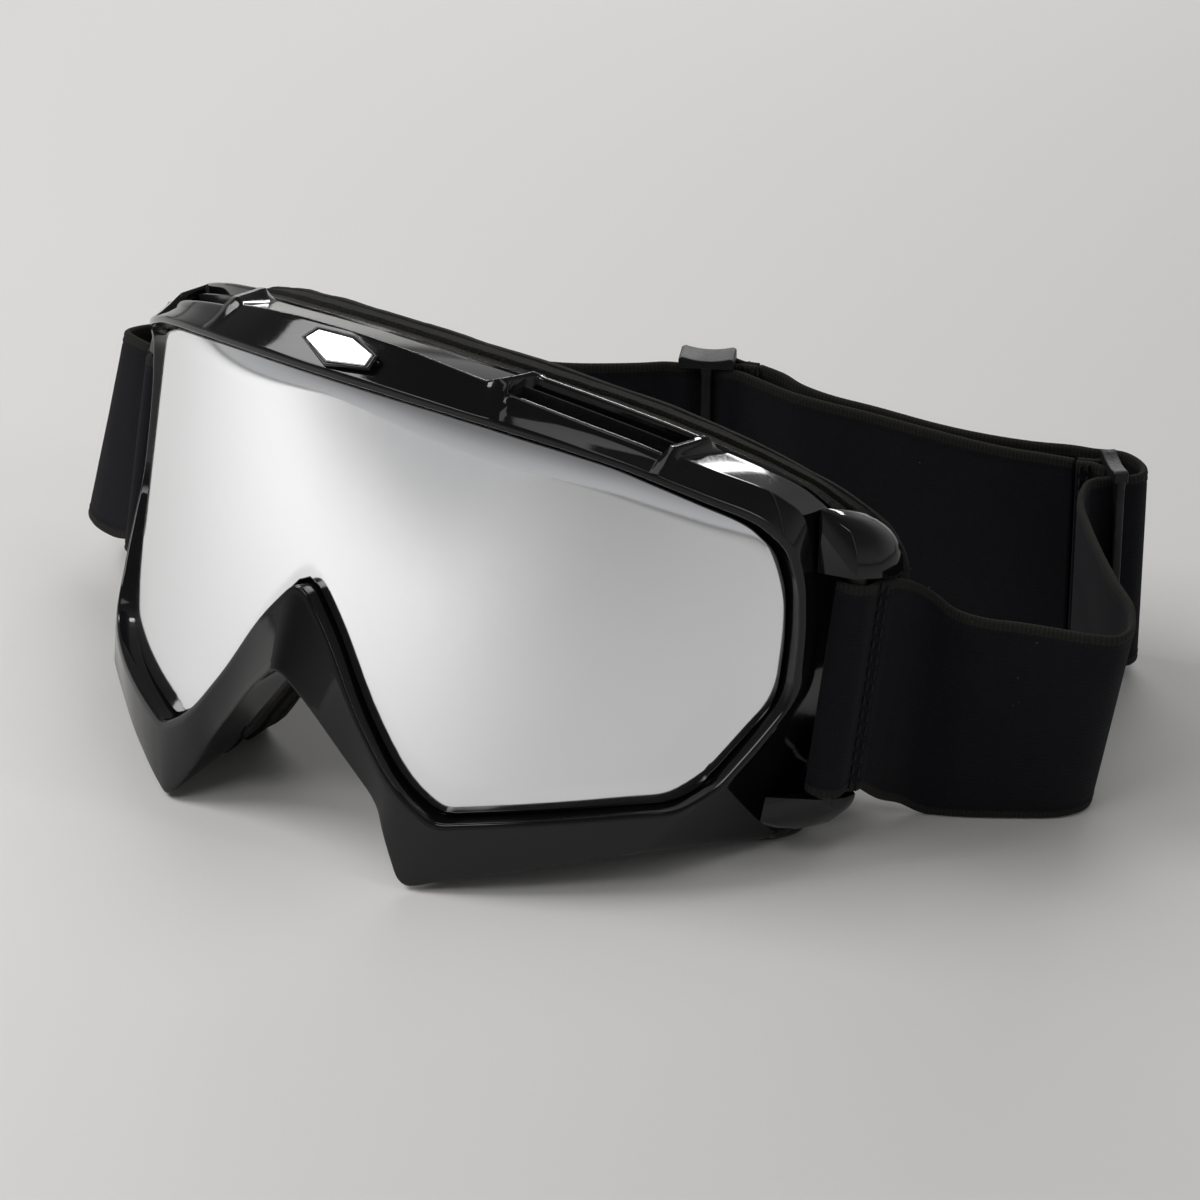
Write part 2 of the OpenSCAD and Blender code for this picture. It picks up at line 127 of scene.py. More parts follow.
# %% A socket that does arithmetic
class Wire:
    """An output socket of a node tree."""

    def __init__(self, tree, socket=None):
        self.tree, self.socket = tree, socket

    def node(self, kind, settings=None, inputs=None, out=0):
        """Add a node: its settings are set first, then its sockets are filled or linked."""
        made = self.tree.nodes.new("ShaderNode" + kind)
        for name, value in (settings or {}).items():
            if name == "stops":
                while len(made.color_ramp.elements) < len(value):
                    made.color_ramp.elements.new(0.5)
                for element, (place, level) in zip(made.color_ramp.elements, value):
                    element.position = place
                    element.color = (level, level, level, 1)
            else:
                setattr(made, name, value)
        for key, value in (inputs or {}).items():
            if isinstance(value, Wire):
                self.tree.links.new(value.socket, made.inputs[key])
            else:
                made.inputs[key].default_value = value
        return Wire(self.tree, made.outputs[out])

    def math(self, operation, *values):
        return self.node("Math", {"operation": operation}, dict(enumerate(values)))

    def __add__(self, other): return self.math("ADD", self, other)
    __radd__ = __add__

    def __sub__(self, other): return self.math("SUBTRACT", self, other)

    def __rsub__(self, other): return self.math("SUBTRACT", other, self)

    def __mul__(self, other): return self.math("MULTIPLY", self, other)
    __rmul__ = __mul__

    def waves(self, pitch):
        """A sine wave of this distance, from 0 to 1."""
        return self.math("SINE", self * (2 * math.pi / pitch)) * 0.5 + 0.5

    def steps(self, *stops):
        """A ramp through the given pairs of place and level."""
        return self.node("ValToRGB", {"stops": stops}, {0: self})


def mix(factor, low, high):
    """A colour between two others."""
    return factor.node("Mix", {"data_type": "RGBA"}, {0: factor, 6: low, 7: high}, out=2)


# %% [markdown]
# A finish starts from the Principled shader. The function below makes the material, hands
# the place on the surface to a painter, and sets the painter's answer: numbers go on the
# shader's own sockets, and wires are linked. A height becomes a Bump node, in millimetres.

# %% Making a finish
def finish(name, paint, **constants):
    """A material whose painter gives the values that vary over the surface."""
    made = bpy.data.materials.new(name)
    made.use_nodes = True
    tree = made.node_tree
    shader = tree.nodes["Principled BSDF"]
    place = Wire(tree).node("TexCoord", out=3)
    for key, value in {**constants, **paint(place)}.items():
        if key == "height":
            value = place.node("Bump", None, {"Strength": 1.0, "Distance": MM, "Height": value})
            key = "Normal"
        socket = shader.inputs[key.replace("_", " ")]
        if isinstance(value, Wire):
            tree.links.new(value.socket, socket)
        else:
            socket.default_value = value
    made.diffuse_color = (*shader.inputs["Base Color"].default_value[:3], 1)
    return made


def grain(place, scale, detail=3.0, rough=0.55):
    """Cloudy noise from 0 to 1; scale is in patches to a metre."""
    return place.node("TexNoise", None, {"Vector": place, "Scale": scale,
                                         "Detail": detail, "Roughness": rough})


def pores(place, scale):
    """Distance to the nearest of a field of random points."""
    return place.node("TexVoronoi", None, {"Vector": place, "Scale": scale})


# %% [markdown]
# The frame is black plastic straight from a polished mould. Its colour hardly varies, so
# it is the gloss that tells the story: a faint ripple left by the mould, fine handling
# scuffs that are duller, and a few specks of dust.

# %% Glossy plastic
def paint_gloss(place):
    ripple = grain(place, 55, 1.0)
    scuffs = grain(place, 900, 6.0, 0.7).steps((0.52, 0), (0.72, 1))
    dust = pores(place, 520).steps((0.02, 1), (0.05, 0)) * grain(place, 90).steps((0.5, 0), (0.62, 1))
    return {
        "Base_Color": mix(dust * 0.35, (0.0045, 0.0045, 0.005, 1), (0.12, 0.12, 0.115, 1)),
        "Roughness": 0.075 + scuffs * 0.06 + dust * 0.3,
        "height": ripple * 0.05 + scuffs * 0.0012,
    }


GLOSS = finish("gloss_shell", paint_gloss, IOR=1.5, Specular_IOR_Level=0.4)


def paint_louvre(place):
    streaks = grain(place, 1400, 4.0)
    return {"Base_Color": mix(streaks, (0.008, 0.008, 0.009, 1), (0.02, 0.02, 0.021, 1)),
            "Roughness": 0.14 + streaks * 0.12, "height": streaks * 0.01}


LOUVRE = finish("louvre_plastic", paint_louvre, IOR=1.5)
print("glossy finishes:", GLOSS.name, LOUVRE.name)

# %% [markdown]
# The pane carries a vapour-deposited silver coat: a true mirror, very slightly blue. Real
# coats are never perfectly even, so broad soft patches shift the tint and the gloss a
# little. The badge is polished metal with finer, crossed polishing marks.

# %% Mirror and polished metal
def paint_mirror(place):
    broad = grain(place, 14, 2.0)
    haze = grain(place, 240, 5.0, 0.65)
    return {
        "Base_Color": mix(broad, (0.86, 0.87, 0.895, 1), (0.93, 0.935, 0.95, 1)),
        "Roughness": 0.085 + haze * 0.035,
        "height": broad * 0.02,
    }


MIRROR = finish("mirror_lens", paint_mirror, Metallic=1.0, Coat_Weight=0.3, Coat_Roughness=0.03)


def paint_badge(place):
    marks = grain(place, 2600, 5.0, 0.7)
    cloud = grain(place, 160, 2.0)
    return {
        "Base_Color": mix(cloud, (0.86, 0.865, 0.88, 1), (0.95, 0.95, 0.955, 1)),
        "Roughness": 0.2 + marks * 0.12,
        "height": marks * 0.003,
    }


BADGE = finish("bright_badge", paint_badge, Metallic=1.0)
print("bright finishes:", MIRROR.name, BADGE.name)

# %% [markdown]
# Three layers are glued into the face pad. The firm base is a coarse brown-black sponge,
# the middle is finer, and the face side is brushed fleece whose pile catches light and
# lint. Open cells come from Voronoi distance; the pile is fine noise, with sheen on top.

# %% Foams and fleece
def sponge(name, cells, dark, light, depth):
    """Open-cell foam: how many cells to a metre, its two colours and how deep they are."""
    def paint(place):
        cell = pores(place, cells)
        patches = grain(place, cells * 0.12, 4.0)
        return {
            "Base_Color": mix(cell * 0.7 + patches * 0.5, (*dark, 1), (*light, 1)),
            "Roughness": 0.88 + patches * 0.1,
            "height": cell * depth + grain(place, cells * 3, 3.0) * depth * 0.5,
        }
    return finish(name, paint, Specular_IOR_Level=0.1, Sheen_Weight=0.04, Sheen_Roughness=0.6)


FOAM_BASE = sponge("foam_base", 1500, (0.006, 0.0055, 0.005), (0.055, 0.049, 0.041), 0.5)
FOAM_MIDDLE = sponge("foam_middle", 2400, (0.004, 0.004, 0.0038), (0.026, 0.025, 0.0225), 0.3)
FILTER = sponge("filter_foam", 1100, (0.002, 0.002, 0.002), (0.035, 0.035, 0.035), 0.7)


def paint_fleece(place):
    pile = grain(place, 2600, 8.0, 0.75)
    tufts = grain(place, 420, 5.0, 0.6)
    lint = pores(place, 330).steps((0.035, 1), (0.075, 0)) * grain(place, 150).steps((0.5, 0), (0.6, 1))
    cloth = mix(pile * 0.7 + tufts * 0.5, (0.004, 0.004, 0.0038, 1), (0.042, 0.041, 0.037, 1))
    return {
        "Base_Color": mix(lint * 0.8, cloth, (0.42, 0.42, 0.40, 1)),
        "Roughness": 0.9 + pile * 0.1,
        "height": pile * 0.4 + tufts * 0.5,
    }


FLEECE = finish("fleece", paint_fleece, Specular_IOR_Level=0.08, Sheen_Weight=0.07, Sheen_Roughness=0.5)
print("foams:", FOAM_BASE.name, FOAM_MIDDLE.name, FLEECE.name, FILTER.name)

# %% [markdown]
# The elastic is woven, so its pattern has to run along the strap wherever the strap turns.
# Its mesh will carry an attribute called "weave": millimetres along and across the tape.
# Fine cross ribs and lengthwise warp threads are waves of those two distances, and the
# bound edges have a coarser rib and a slightly lighter black.

# %% Woven elastic
TAPE_WIDTH = 45.0
WARP_PITCH = 0.95
RIB_PITCH = 0.62
EDGE_WIDTH = 1.8


def paint_elastic(place):
    weave = place.node("Attribute", {"attribute_name": "weave"}, out=1)
    split = ("SeparateXYZ", None, {0: weave})
    along, across = place.node(*split, out=0), place.node(*split, out=1)
    ribs, warp, edge_ribs = along.waves(RIB_PITCH), across.waves(WARP_PITCH), along.waves(1.4 * RIB_PITCH)
    off_middle = place.math("ABSOLUTE", across - TAPE_WIDTH / 2)
    bound = place.math("GREATER_THAN", off_middle, TAPE_WIDTH / 2 - EDGE_WIDTH)
    fuzz = grain(place, 3200, 6.0, 0.75)
    patches = grain(place, 60, 3.0)
    lint = pores(place, 260).steps((0.018, 1), (0.035, 0)) * grain(place, 45).steps((0.52, 0), (0.6, 1))
    plain = ribs * 0.12 + warp * 0.1 + fuzz * 0.7 + patches * 0.25
    cloth = mix(plain, (0.002, 0.002, 0.0028, 1), (0.013, 0.013, 0.0165, 1))
    edging = mix(edge_ribs * 0.25 + fuzz * 0.7, (0.006, 0.0058, 0.0055, 1), (0.032, 0.031, 0.028, 1))
    tape = mix(bound, cloth, edging)
    return {
        "Base_Color": mix(lint * 0.6, tape, (0.3, 0.3, 0.3, 1)),
        "Roughness": 0.84 + fuzz * 0.14,
        "height": ribs * 0.03 + warp * 0.03 + fuzz * 0.16 + bound * edge_ribs * 0.08,
    }


ELASTIC = finish("elastic", paint_elastic, Specular_IOR_Level=0.1, Sheen_Weight=0.03,
                 Sheen_Roughness=0.5)


def paint_thread(place):
    twist = grain(place, 5200, 3.0)
    return {"Base_Color": mix(twist, (0.004, 0.004, 0.005, 1), (0.02, 0.02, 0.023, 1)),
            "Roughness": 0.55 + twist * 0.25, "height": twist * 0.08}


THREAD = finish("thread", paint_thread, Specular_IOR_Level=0.2)
print("cloth:", ELASTIC.name, THREAD.name)

# %% [markdown]
# The sliders are spark-eroded in the mould, so they have an even, fine, dull grain that
# is a little shinier where the webbing rubs. The frame's side bars are satin.

# %% Matt plastics
def matt(name, dark, light, rough):
    def paint(place):
        skin = pores(place, 2600)
        rub = grain(place, 130, 4.0).steps((0.45, 0), (0.7, 1))
        return {"Base_Color": mix(skin * 0.6 + rub * 0.4, (*dark, 1), (*light, 1)),
                "Roughness": rough - rub * 0.12 + skin * 0.08, "height": skin * 0.06}
    return finish(name, paint, IOR=1.5, Specular_IOR_Level=0.3)


SLIDER = matt("slider_plastic", (0.004, 0.004, 0.005), (0.013, 0.013, 0.016), 0.4)
BAR = matt("bar_plastic", (0.008, 0.008, 0.009), (0.018, 0.018, 0.02), 0.38)
print("matt plastics:", SLIDER.name, BAR.name)

# %% [markdown]
# The whole frame is one ring, so it is drawn as one: twenty-four stations run from the
# middle of the brow round the wearer's left side to the nose, and the other side is their
# mirror image. Each station holds, in this order, the lens edge [u, w], the front crease,
# the rear rim, the rim's inner edge [u, w] and the face side of the foam. The CAD part uses
# the same stations, so the two agree.

# %% Stations of the ring
STATIONS = [
    [[0, 95.1],    [0, 1.6, 103.7],   [0, 15, 102],     [0, 92],     [0, 27, 101]],
    [[12, 94.9],   [12, 2.6, 103.2],  [12, 16, 101.5],  [11.5, 92],  [12, 28, 100.7]],
    [[22.6, 94.3], [20.4, 4.1, 102.2],[22, 18.5, 100.5],[21.5, 91],  [22, 31, 99.8]],
    [[33, 93.3],   [31.5, 7.6, 100.2],[33, 23.5, 99],   [31.5, 90],  [33, 36.5, 97.9]],
    [[44, 91.7],   [45, 14.5, 97],    [45, 31, 96.5],   [43, 87.5],  [45, 44.5, 94.9]],
    [[54, 89.4],   [56, 22.8, 93.6],  [56, 39, 93.2],   [52, 84.5],  [56, 52.5, 91.2]],
    [[62.6, 85.9], [64, 29.8, 90.2],  [65, 47, 89.6],   [60, 81.5],  [65, 59.5, 87.2]],
    [[72, 81.2],   [74, 39.6, 86.8],  [73, 55, 85.5],   [66, 77.5],  [73, 66.5, 82.6]],
    [[75.8, 75.9], [78.8, 46.8, 82],  [78, 61, 80],     [70, 73],    [81, 73.5, 77]],
    [[77.6, 68],   [80.8, 49, 72],    [80, 64, 72],     [71.5, 67],  [84.6, 77.5, 69.5]],
    [[78.3, 58],   [82, 50, 61],      [80.5, 65, 60],   [72, 58],    [85, 79, 59]],
    [[78.4, 45.4], [82.8, 49.9, 47.9],[80.5, 65, 46],   [72, 46],    [83.5, 79.5, 46]],
    [[75.6, 37],   [79.3, 43.2, 37],  [80.5, 64.5, 36], [71.5, 37],  [82.5, 79.5, 36]],
    [[72, 28],     [74.8, 36.3, 28],  [80.5, 64, 27],   [70, 30],    [80.5, 79, 27]],
    [[68, 23.4],   [66.5, 25.5, 14.7],[80, 62.5, 14.8], [67, 25],    [77, 77, 19.2]],
    [[62.4, 22.3], [60.8, 21, 12.6],  [72, 55, 13.6],   [61.5, 23.5],[69, 69, 17.2]],
    [[51.1, 19.4], [48, 11.5, 7.8],   [57, 41, 11.5],   [51.5, 21.5],[56, 56, 14.4]],
    [[39, 16.4],   [36.5, 4.6, 3.5],  [42, 29, 8.5],    [41, 19],    [42, 43.5, 11.6]],
    [[32.8, 14.7], [29.1, 1.4, 0.4],  [31, 21, 6.4],    [35, 18.5],  [32, 35.5, 10.2]],
    [[26.5, 18.8], [23.6, 1.8, 9],    [25, 18.5, 11],   [30.5, 24],  [26, 32.5, 14.5]],
    [[22.5, 22.8], [20.8, 2, 15.2],   [21.5, 18, 17],   [26.5, 30],  [22, 31, 20]],
    [[15.4, 32.7], [13.8, -1.6, 23.5],[14.5, 16.5, 26], [20, 38.5],  [15, 28.8, 28.5]],
    [[8.3, 45.2],  [7, -4.8, 31.5],   [7.5, 15.5, 36],  [11.5, 49],  [8, 27.3, 37.5]],
    [[0, 55.5],    [0, -7.6, 38.2],   [0, 15, 43],      [0, 56.5],   [0, 26.8, 44]]
]
LENS_R, LENS_T, LIP, WALL, GROOVE = 87.6, 1.2, 3.4, 2.4, 3.0
HALF = np.array([sum(row, []) for row in STATIONS])
ACROSS = [0, 2, 5, 8, 10]
OPPOSITE = np.ones(HALF.shape[1])
OPPOSITE[ACROSS] = -1
WHOLE = np.concatenate([HALF, (HALF * OPPOSITE)[-2:0:-1]])
TURN = len(WHOLE)
NOSE = len(HALF) - 1
CORNER = 0.35


def curve(start, corner, end, q):
    """A point of the curve that rounds a corner; q runs from 0 to 1."""
    return (1 - q) ** 2 * start + 2 * q * (1 - q) * corner + q * q * end


def station(t):
    """The station at t, where whole numbers are the table's: straight runs, rounded corners."""
    near = round(t)
    off = t - near
    if abs(off) >= CORNER:
        i = math.floor(t)
        return WHOLE[i % TURN] + (WHOLE[(i + 1) % TURN] - WHOLE[i % TURN]) * (t - i)
    here = WHOLE[near % TURN]
    before = here + (WHOLE[(near - 1) % TURN] - here) * CORNER
    after = here + (WHOLE[(near + 1) % TURN] - here) * CORNER
    return curve(before, here, after, (off + CORNER) / (2 * CORNER))


def folded(t):
    """The place on the left half that t or its mirror image stands at."""
    return min(t % TURN, TURN - t % TURN)


print("stations round the ring:", TURN)

# %% [markdown]
# Features such as vents need their own columns of faces, so the ring is cut finely where
# they start and stop, and evenly elsewhere.

# %% Columns of the ring
EVEN = [0, 0.12, 0.24, 0.35, 0.5, 0.65, 0.76, 0.88]
TOP_VENT = (3.15, 5.38)
FOOT_VENT = (15.2, 16.7)
VENT_COLUMNS = [2.82, 2.9, 2.98, 3.12, 3.15, 5.38, 5.41, 5.5, 5.55, 5.61, 5.68,
                15.17, 15.2, 16.7, 16.73]


def ring_columns(extra):
    half = sorted({round(i + f, 3) for i in range(NOSE) for f in EVEN} | {round(t, 3) for t in extra})
    half = [t for t in half if t < NOSE] + [NOSE]
    return half + [TURN - t for t in reversed(half) if 0 < t < NOSE]


COLUMNS = ring_columns(VENT_COLUMNS)
PLAIN_COLUMNS = ring_columns([])
print("columns:", len(COLUMNS), "with features,", len(PLAIN_COLUMNS), "plain")

# %% [markdown]
# A mesh is laid over a list of outlines by joining each to the next. Corners of an outline
# are rounded before that, by cutting them back and bridging them with a small curve. This
# keeps broad faces flat and edges crisp, which is what makes glossy plastic look moulded.

# %% Outlines and lofts
BEND = (0.0, 0.35, 0.65, 1.0)
WELD_GAP = 2e-6


def unit(v):
    return v / max(np.linalg.norm(v), 1e-9)


def rounded(corners, radii):
    """A closed outline whose corners are cut back by their radii, in mm, where they have one."""
    points = []
    for k, (here, radius) in enumerate(zip(corners, radii)):
        if radius is None:
            points.append(here)
            continue
        ends = []
        for other in (corners[k - 1], corners[(k + 1) % len(corners)]):
            way = other - here
            ends.append(here + way * min(radius / max(np.linalg.norm(way), 1e-6), 0.45))
        points += [curve(ends[0], here, ends[1], q) for q in BEND]
    return points


def loft(outlines, closed):
    """Vertices and faces through outlines of equal length; an open loft gets end caps."""
    n, m = len(outlines), len(outlines[0])
    faces = []
    for i in range(n if closed else n - 1):
        a, b = i * m, (i + 1) % n * m
        faces += [(a + j, a + (j + 1) % m, b + (j + 1) % m, b + j) for j in range(m)]
    if not closed:
        faces += [tuple(range(m)), tuple(range(n * m - 1, (n - 1) * m - 1, -1))]
    return np.concatenate([np.array(o) for o in outlines]), faces


def piece(name, shape, material, body, slot, replaces, weld=True):
    """A piece of the goggles from vertices and faces, on its body and standing for its nodes."""
    verts, faces = shape
    mesh = bpy.data.meshes.new(name)
    mesh.from_pydata([tuple(v) for v in verts], [], faces)
    shaped = bmesh.new()
    shaped.from_mesh(mesh)
    if weld:
        bmesh.ops.remove_doubles(shaped, verts=shaped.verts, dist=WELD_GAP)
    bmesh.ops.recalc_face_normals(shaped, faces=shaped.faces)
    for face in shaped.faces:
        face.smooth = len(face.verts) <= 4
    shaped.to_mesh(mesh)
    shaped.free()
    made = placed(name, mesh)
    mesh.materials.append(material)
    if body:
        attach(made, body)
    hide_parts(*replaces)
    return made


def bevelled(made, width, segments=3, angle=30):
    """Round off the edges that turn by more than an angle, in degrees; the width is in mm."""
    bevel = made.modifiers.new("edges", "BEVEL")
    bevel.width, bevel.segments, bevel.angle_limit = width * MM, segments, math.radians(angle)
    return made


def flattened(made):
    """Let the large faces set the shading, so that only the edges look round."""
    made.modifiers.new("flat faces", "WEIGHTED_NORMAL").weight = 80
    return made


# %% [markdown]
# **The frame.** On the real goggles it is one injection moulding. Its cross-section starts
# at the ledge under the lens, climbs the lip round the lens, slopes over the front face to
# the crease, runs back over the outer face to a beaded rear rim, and returns inside. It
# could be boxes and booleans, but a ring of rounded sections gives continuous highlights.

# %% Points of a section
def on_edge(st, outward, radius):
    """Beside the lens edge: mm outward along the lens, at a radius of its cylinder."""
    s0 = math.asin(st[0] / LENS_R)
    s1 = math.atan2(st[2], LENS_R - st[3])
    ds, dw = unit(np.array([(s1 - s0) * LENS_R, st[4] - st[1]])) * outward
    s = s0 + ds / LENS_R
    return np.array([radius * math.sin(s), LENS_R - radius * math.cos(s), st[1] + dw])


def outward_of(t, face):
    """Away from the ring, square to a face of it: face gives that face's two edges."""
    a0, b0 = face(station(t - 0.06))
    a1, b1 = face(station(t + 0.06))
    side = unit(np.cross((a1 + b1) - (a0 + b0), (b0 + b1) - (a0 + a1)))
    away = (a0 + b0) / 2 - np.array([0, 30, 58])
    return side if side @ away > 0 else -side


def outer_face(st):
    return st[2:5], st[5:8]


def front_face(st):
    return on_edge(st, 1.5, LENS_R + LIP), st[2:5]


FRONT_ROWS = (0.3, 0.6, 0.85)
OUTER_ROWS = (0.05, 0.14, 0.30, 0.45, 0.56, 0.62, 0.70)
BEAD = ((0.82, 0), (0.84, -0.6), (0.88, -0.6), (0.90, 0.35))
INNER_ROWS = (0.25, 0.5, 0.75)

# %% [markdown]
# The top vents are open scoops: a ramp rises from the lens, drops into a deep slot, and
# the far side stands up as a rounded border that also wraps both ends. A weight says how
# much of the border a column shows, a test says whether it is in a slot, and rows of the
# section move to suit. The bottom vents are plain slots.

# %% Vents in the section
BORDER_HEIGHTS = {"front": (0.2, 0.5, 0.9), "crease": 1.3,
                  "outer": (1.4, 1.6, 1.9, 2.2, 2.5, 2.5, 1.5)}
SLOT_DEPTH = 3.6


def border_weight(t):
    return float(np.interp(folded(t), [2.82, 2.98, 5.53, 5.68], [0, 1, 1, 0]))


def inside(t, span):
    return span[0] - 0.005 < folded(t) < span[1] + 0.005


def frame_outline(t):
    st = station(t)
    crease, rim = st[2:5], st[5:8]
    crest = on_edge(st, 1.5, LENS_R + LIP + 0.2)
    out, face_out = outward_of(t, outer_face), outward_of(t, front_face)
    front = lambda s: crest + (crease - crest) * s
    outer = lambda s: crease + (rim - crease) * s
    in_rim = np.array([st[8], rim[1] * 0.95, st[9]])
    border = border_weight(t)
    slot, foot = inside(t, TOP_VENT), inside(t, FOOT_VENT)
    if slot:
        f_pts = [front(0.3) - face_out * 0.25, front(0.55) - face_out * 0.35, front(0.72)]
        c_pt = front(0.86) + face_out * 0.25
        o_pts = [outer(0.03) - out * 0.5, outer(0.07) - out * SLOT_DEPTH, outer(0.28) - out * 4.8,
                 outer(0.47) - out * 4.4, outer(0.49) + out * 2.3, outer(0.57) + out * 2.5,
                 outer(0.70) + out * 1.5]
    else:
        f_pts = [front(s) + face_out * h * border
                 for s, h in zip(FRONT_ROWS, BORDER_HEIGHTS["front"])]
        c_pt = crease + out * BORDER_HEIGHTS["crease"] * border
        o_pts = [outer(s) + out * h * border for s, h in zip(OUTER_ROWS, BORDER_HEIGHTS["outer"])]
    if foot:
        o_pts[1:6] = [outer(0.3), outer(0.31) - out * 4, outer(0.45) - out * 4,
                      outer(0.6) - out * 4, outer(0.61)]
    sunk = 4.0 * slot + 2.6 * foot
    step_in = rim + unit(in_rim - rim) * WALL - np.array([0, WALL, 0])
    ledge_back = on_edge(st, GROOVE + 1, LENS_R - LENS_T - WALL) - out * 3.2 * slot
    inner = [step_in + (ledge_back - step_in) * s - out * sunk for s in INNER_ROWS]
    corners = [
        on_edge(st, -2.2, LENS_R - LENS_T - 0.15), on_edge(st, 0, LENS_R - LENS_T - 0.15),
        on_edge(st, 0, LENS_R + LIP), crest, *f_pts, c_pt, *o_pts,
        *[outer(s) + out * h for s, h in BEAD], rim, in_rim, in_rim - np.array([0, WALL, 0]),
        step_in, *inner, ledge_back, on_edge(st, -2.2, LENS_R - LENS_T - WALL)]
    edge, roll = (0.4, 0.7) if slot else (0.02, 0.02)
    radii = [0.3, None, 0.55, 0.55, None, None, edge, 0.75, *[None] * 4, roll, roll, None,
             0.2, 0.2, 0.2, 0.3, 0.6, 0.4, *[None] * 6, 0.3]
    return leaned(rounded(corners, radii))


# %% [markdown]
# With a section at every column, the whole moulding is one loft that closes on itself.

# %% The frame's mesh
shell = flattened(piece("frame_moulding", loft([frame_outline(t) for t in COLUMNS], True), GLOSS,
                        "goggle", "gloss_shell", ["frame_shell"]))
print("frame faces:", len(shell.data.polygons))

# %% [markdown]
# Above and below the strap the frame spreads into brackets that hold the side bar. Each
# is a dome: quarter ellipses of different sizes, one behind another, with a hull drawn
# round them. A narrow bevel on its crisp edges leaves the bright line of a mould edge.

# %% The side brackets
ROOT_U = 80


def dome(foot, rings, up):
    """Quarter ellipses round a foot line; each ring is [depth, reach outward, height]."""
    turns = [math.radians(a) for a in range(0, 91, 9)]
    return [[ROOT_U + reach * math.sin(a), depth, foot + up * height * math.cos(a)]
            for depth, reach, height in rings for a in turns] + [[76.5, 56, foot + up * 10.5]]


UPPER_BRACKET = dome(71, [(49.4, 1.5, 12.4), (52.5, 8.2, 11.8), (58, 10.2, 11), (63, 10.8, 10),
                          (66.6, 10, 8.8), (69.2, 6, 6)], 1)
LOWER_BRACKET = dome(26.4, [(45, 0.4, 5), (49.6, 4.4, 7), (54, 8, 8), (59, 9.6, 8.2),
                            (63, 9.4, 7), (66, 6, 4)], -1)


def hull_piece(name, corners, side):
    """A bevelled solid corner on one side of the frame."""
    points = leaned(np.array(corners) * [side, 1, 1])
    shaped = bmesh.new()
    for p in points:
        shaped.verts.new(p)
    hull = bmesh.ops.convex_hull(shaped, input=shaped.verts)
    bmesh.ops.delete(shaped, geom=[v for v in hull["geom_interior"]], context="VERTS")
    bmesh.ops.dissolve_limit(shaped, angle_limit=math.radians(4), verts=shaped.verts, edges=shaped.edges)
    shaped.verts.ensure_lookup_table()
    verts = [tuple(v.co) for v in shaped.verts]
    faces = [tuple(v.index for v in f.verts) for f in shaped.faces]
    shaped.free()
    bevelled(piece(name, (verts, faces), GLOSS, "goggle", "gloss_shell", ["frame_shell"]), 0.7, 4)


for side, word in ((1, "left"), (-1, "right")):
    hull_piece(f"upper_bracket_{word}", UPPER_BRACKET, side)
    hull_piece(f"lower_bracket_{word}", LOWER_BRACKET, side)
print("brackets made for both sides")

# %% [markdown]
# **The pane.** A mirror shows every error of its surface, so its points are placed exactly
# on a cylinder instead of being smoothed. Upright lines cross it, and each runs from the
# lower outline to the upper one. Two inset outlines round off its edge.

# %% The mirror pane
PANE_INSET = 1.2
PANE_LINES = 121
PANE_ROWS = 14


def pane_sheet(outward, radius, rows):
    """A grid of points at a radius of the cylinder, within an outline moved outward by mm."""
    points = []
    for t in np.arange(0, NOSE + 0.01, 0.05):
        u, v, w = on_edge(station(t), outward, LENS_R)
        points.append((math.atan2(u, LENS_R - v), w))
    points = np.array(points)
    far = int(np.argmax(points[:, 0]))
    upper, lower = points[:far + 1], points[far:][::-1]
    lines = points[far, 0] * np.sin(np.linspace(-math.pi / 2, math.pi / 2, PANE_LINES))
    tops = np.interp(abs(lines), upper[:, 0], upper[:, 1])
    feet = np.interp(abs(lines), lower[:, 0], lower[:, 1])
    share = np.linspace(0, 1, rows)[None, :]
    w = feet[:, None] * (1 - share) + tops[:, None] * share
    arc = np.repeat(lines[:, None], rows, 1)
    return np.stack([radius * np.sin(arc), LENS_R - radius * np.cos(arc), w], -1)


def pane_shape():
    """Front and back sheets joined by rounded edges: rings of outline points between them."""
    front = pane_sheet(-PANE_INSET - 0.35, LENS_R, PANE_ROWS)
    back = pane_sheet(-PANE_INSET - 0.35, LENS_R - LENS_T, PANE_ROWS)
    edges = [pane_sheet(-PANE_INSET - inset, LENS_R - depth, 2)
             for inset, depth in ((0.1, 0.1), (0, 0.4), (0, LENS_T - 0.3), (0.1, LENS_T - 0.08))]
    verts, faces = [front.reshape(-1, 3), back.reshape(-1, 3)], []
    for base, turned in ((0, False), (PANE_LINES * PANE_ROWS, True)):
        for i in range(PANE_LINES - 1):
            for j in range(PANE_ROWS - 1):
                a = base + i * PANE_ROWS + j
                quad = (a, a + PANE_ROWS, a + PANE_ROWS + 1, a + 1)
                faces.append(quad[::-1] if turned else quad)
    start = 2 * PANE_LINES * PANE_ROWS
    rings = []
    for sheet in [front[:, [0, -1]], *edges, back[:, [0, -1]]]:
        verts.append(np.concatenate([sheet[:, 0], sheet[::-1, 1]]))
        rings.append(start)
        start += 2 * PANE_LINES
    count = 2 * PANE_LINES
    for a, b in zip(rings, rings[1:]):
        faces += [(a + k, a + (k + 1) % count, b + (k + 1) % count, b + k) for k in range(count)]
    return leaned(np.concatenate(verts)), faces


pane = piece("mirror_pane", pane_shape(), MIRROR, "goggle", "mirror_lens", ["lens"])
print("pane faces:", len(pane.data.polygons))

# %% [markdown]
# **The badge** is a blank, bright six-sided plate let into the brow. A thin dark frame
# round it is the edge of its pocket.

# %% The badge
BADGE_OUTLINE = [(-8, 0.2), (-6, 2.7), (2, 3), (8, 1), (7.6, -1.6), (-1, -3)]
BADGE_AT = np.array([1.4, -1.3, 100])
BADGE_TILT = math.radians(54)


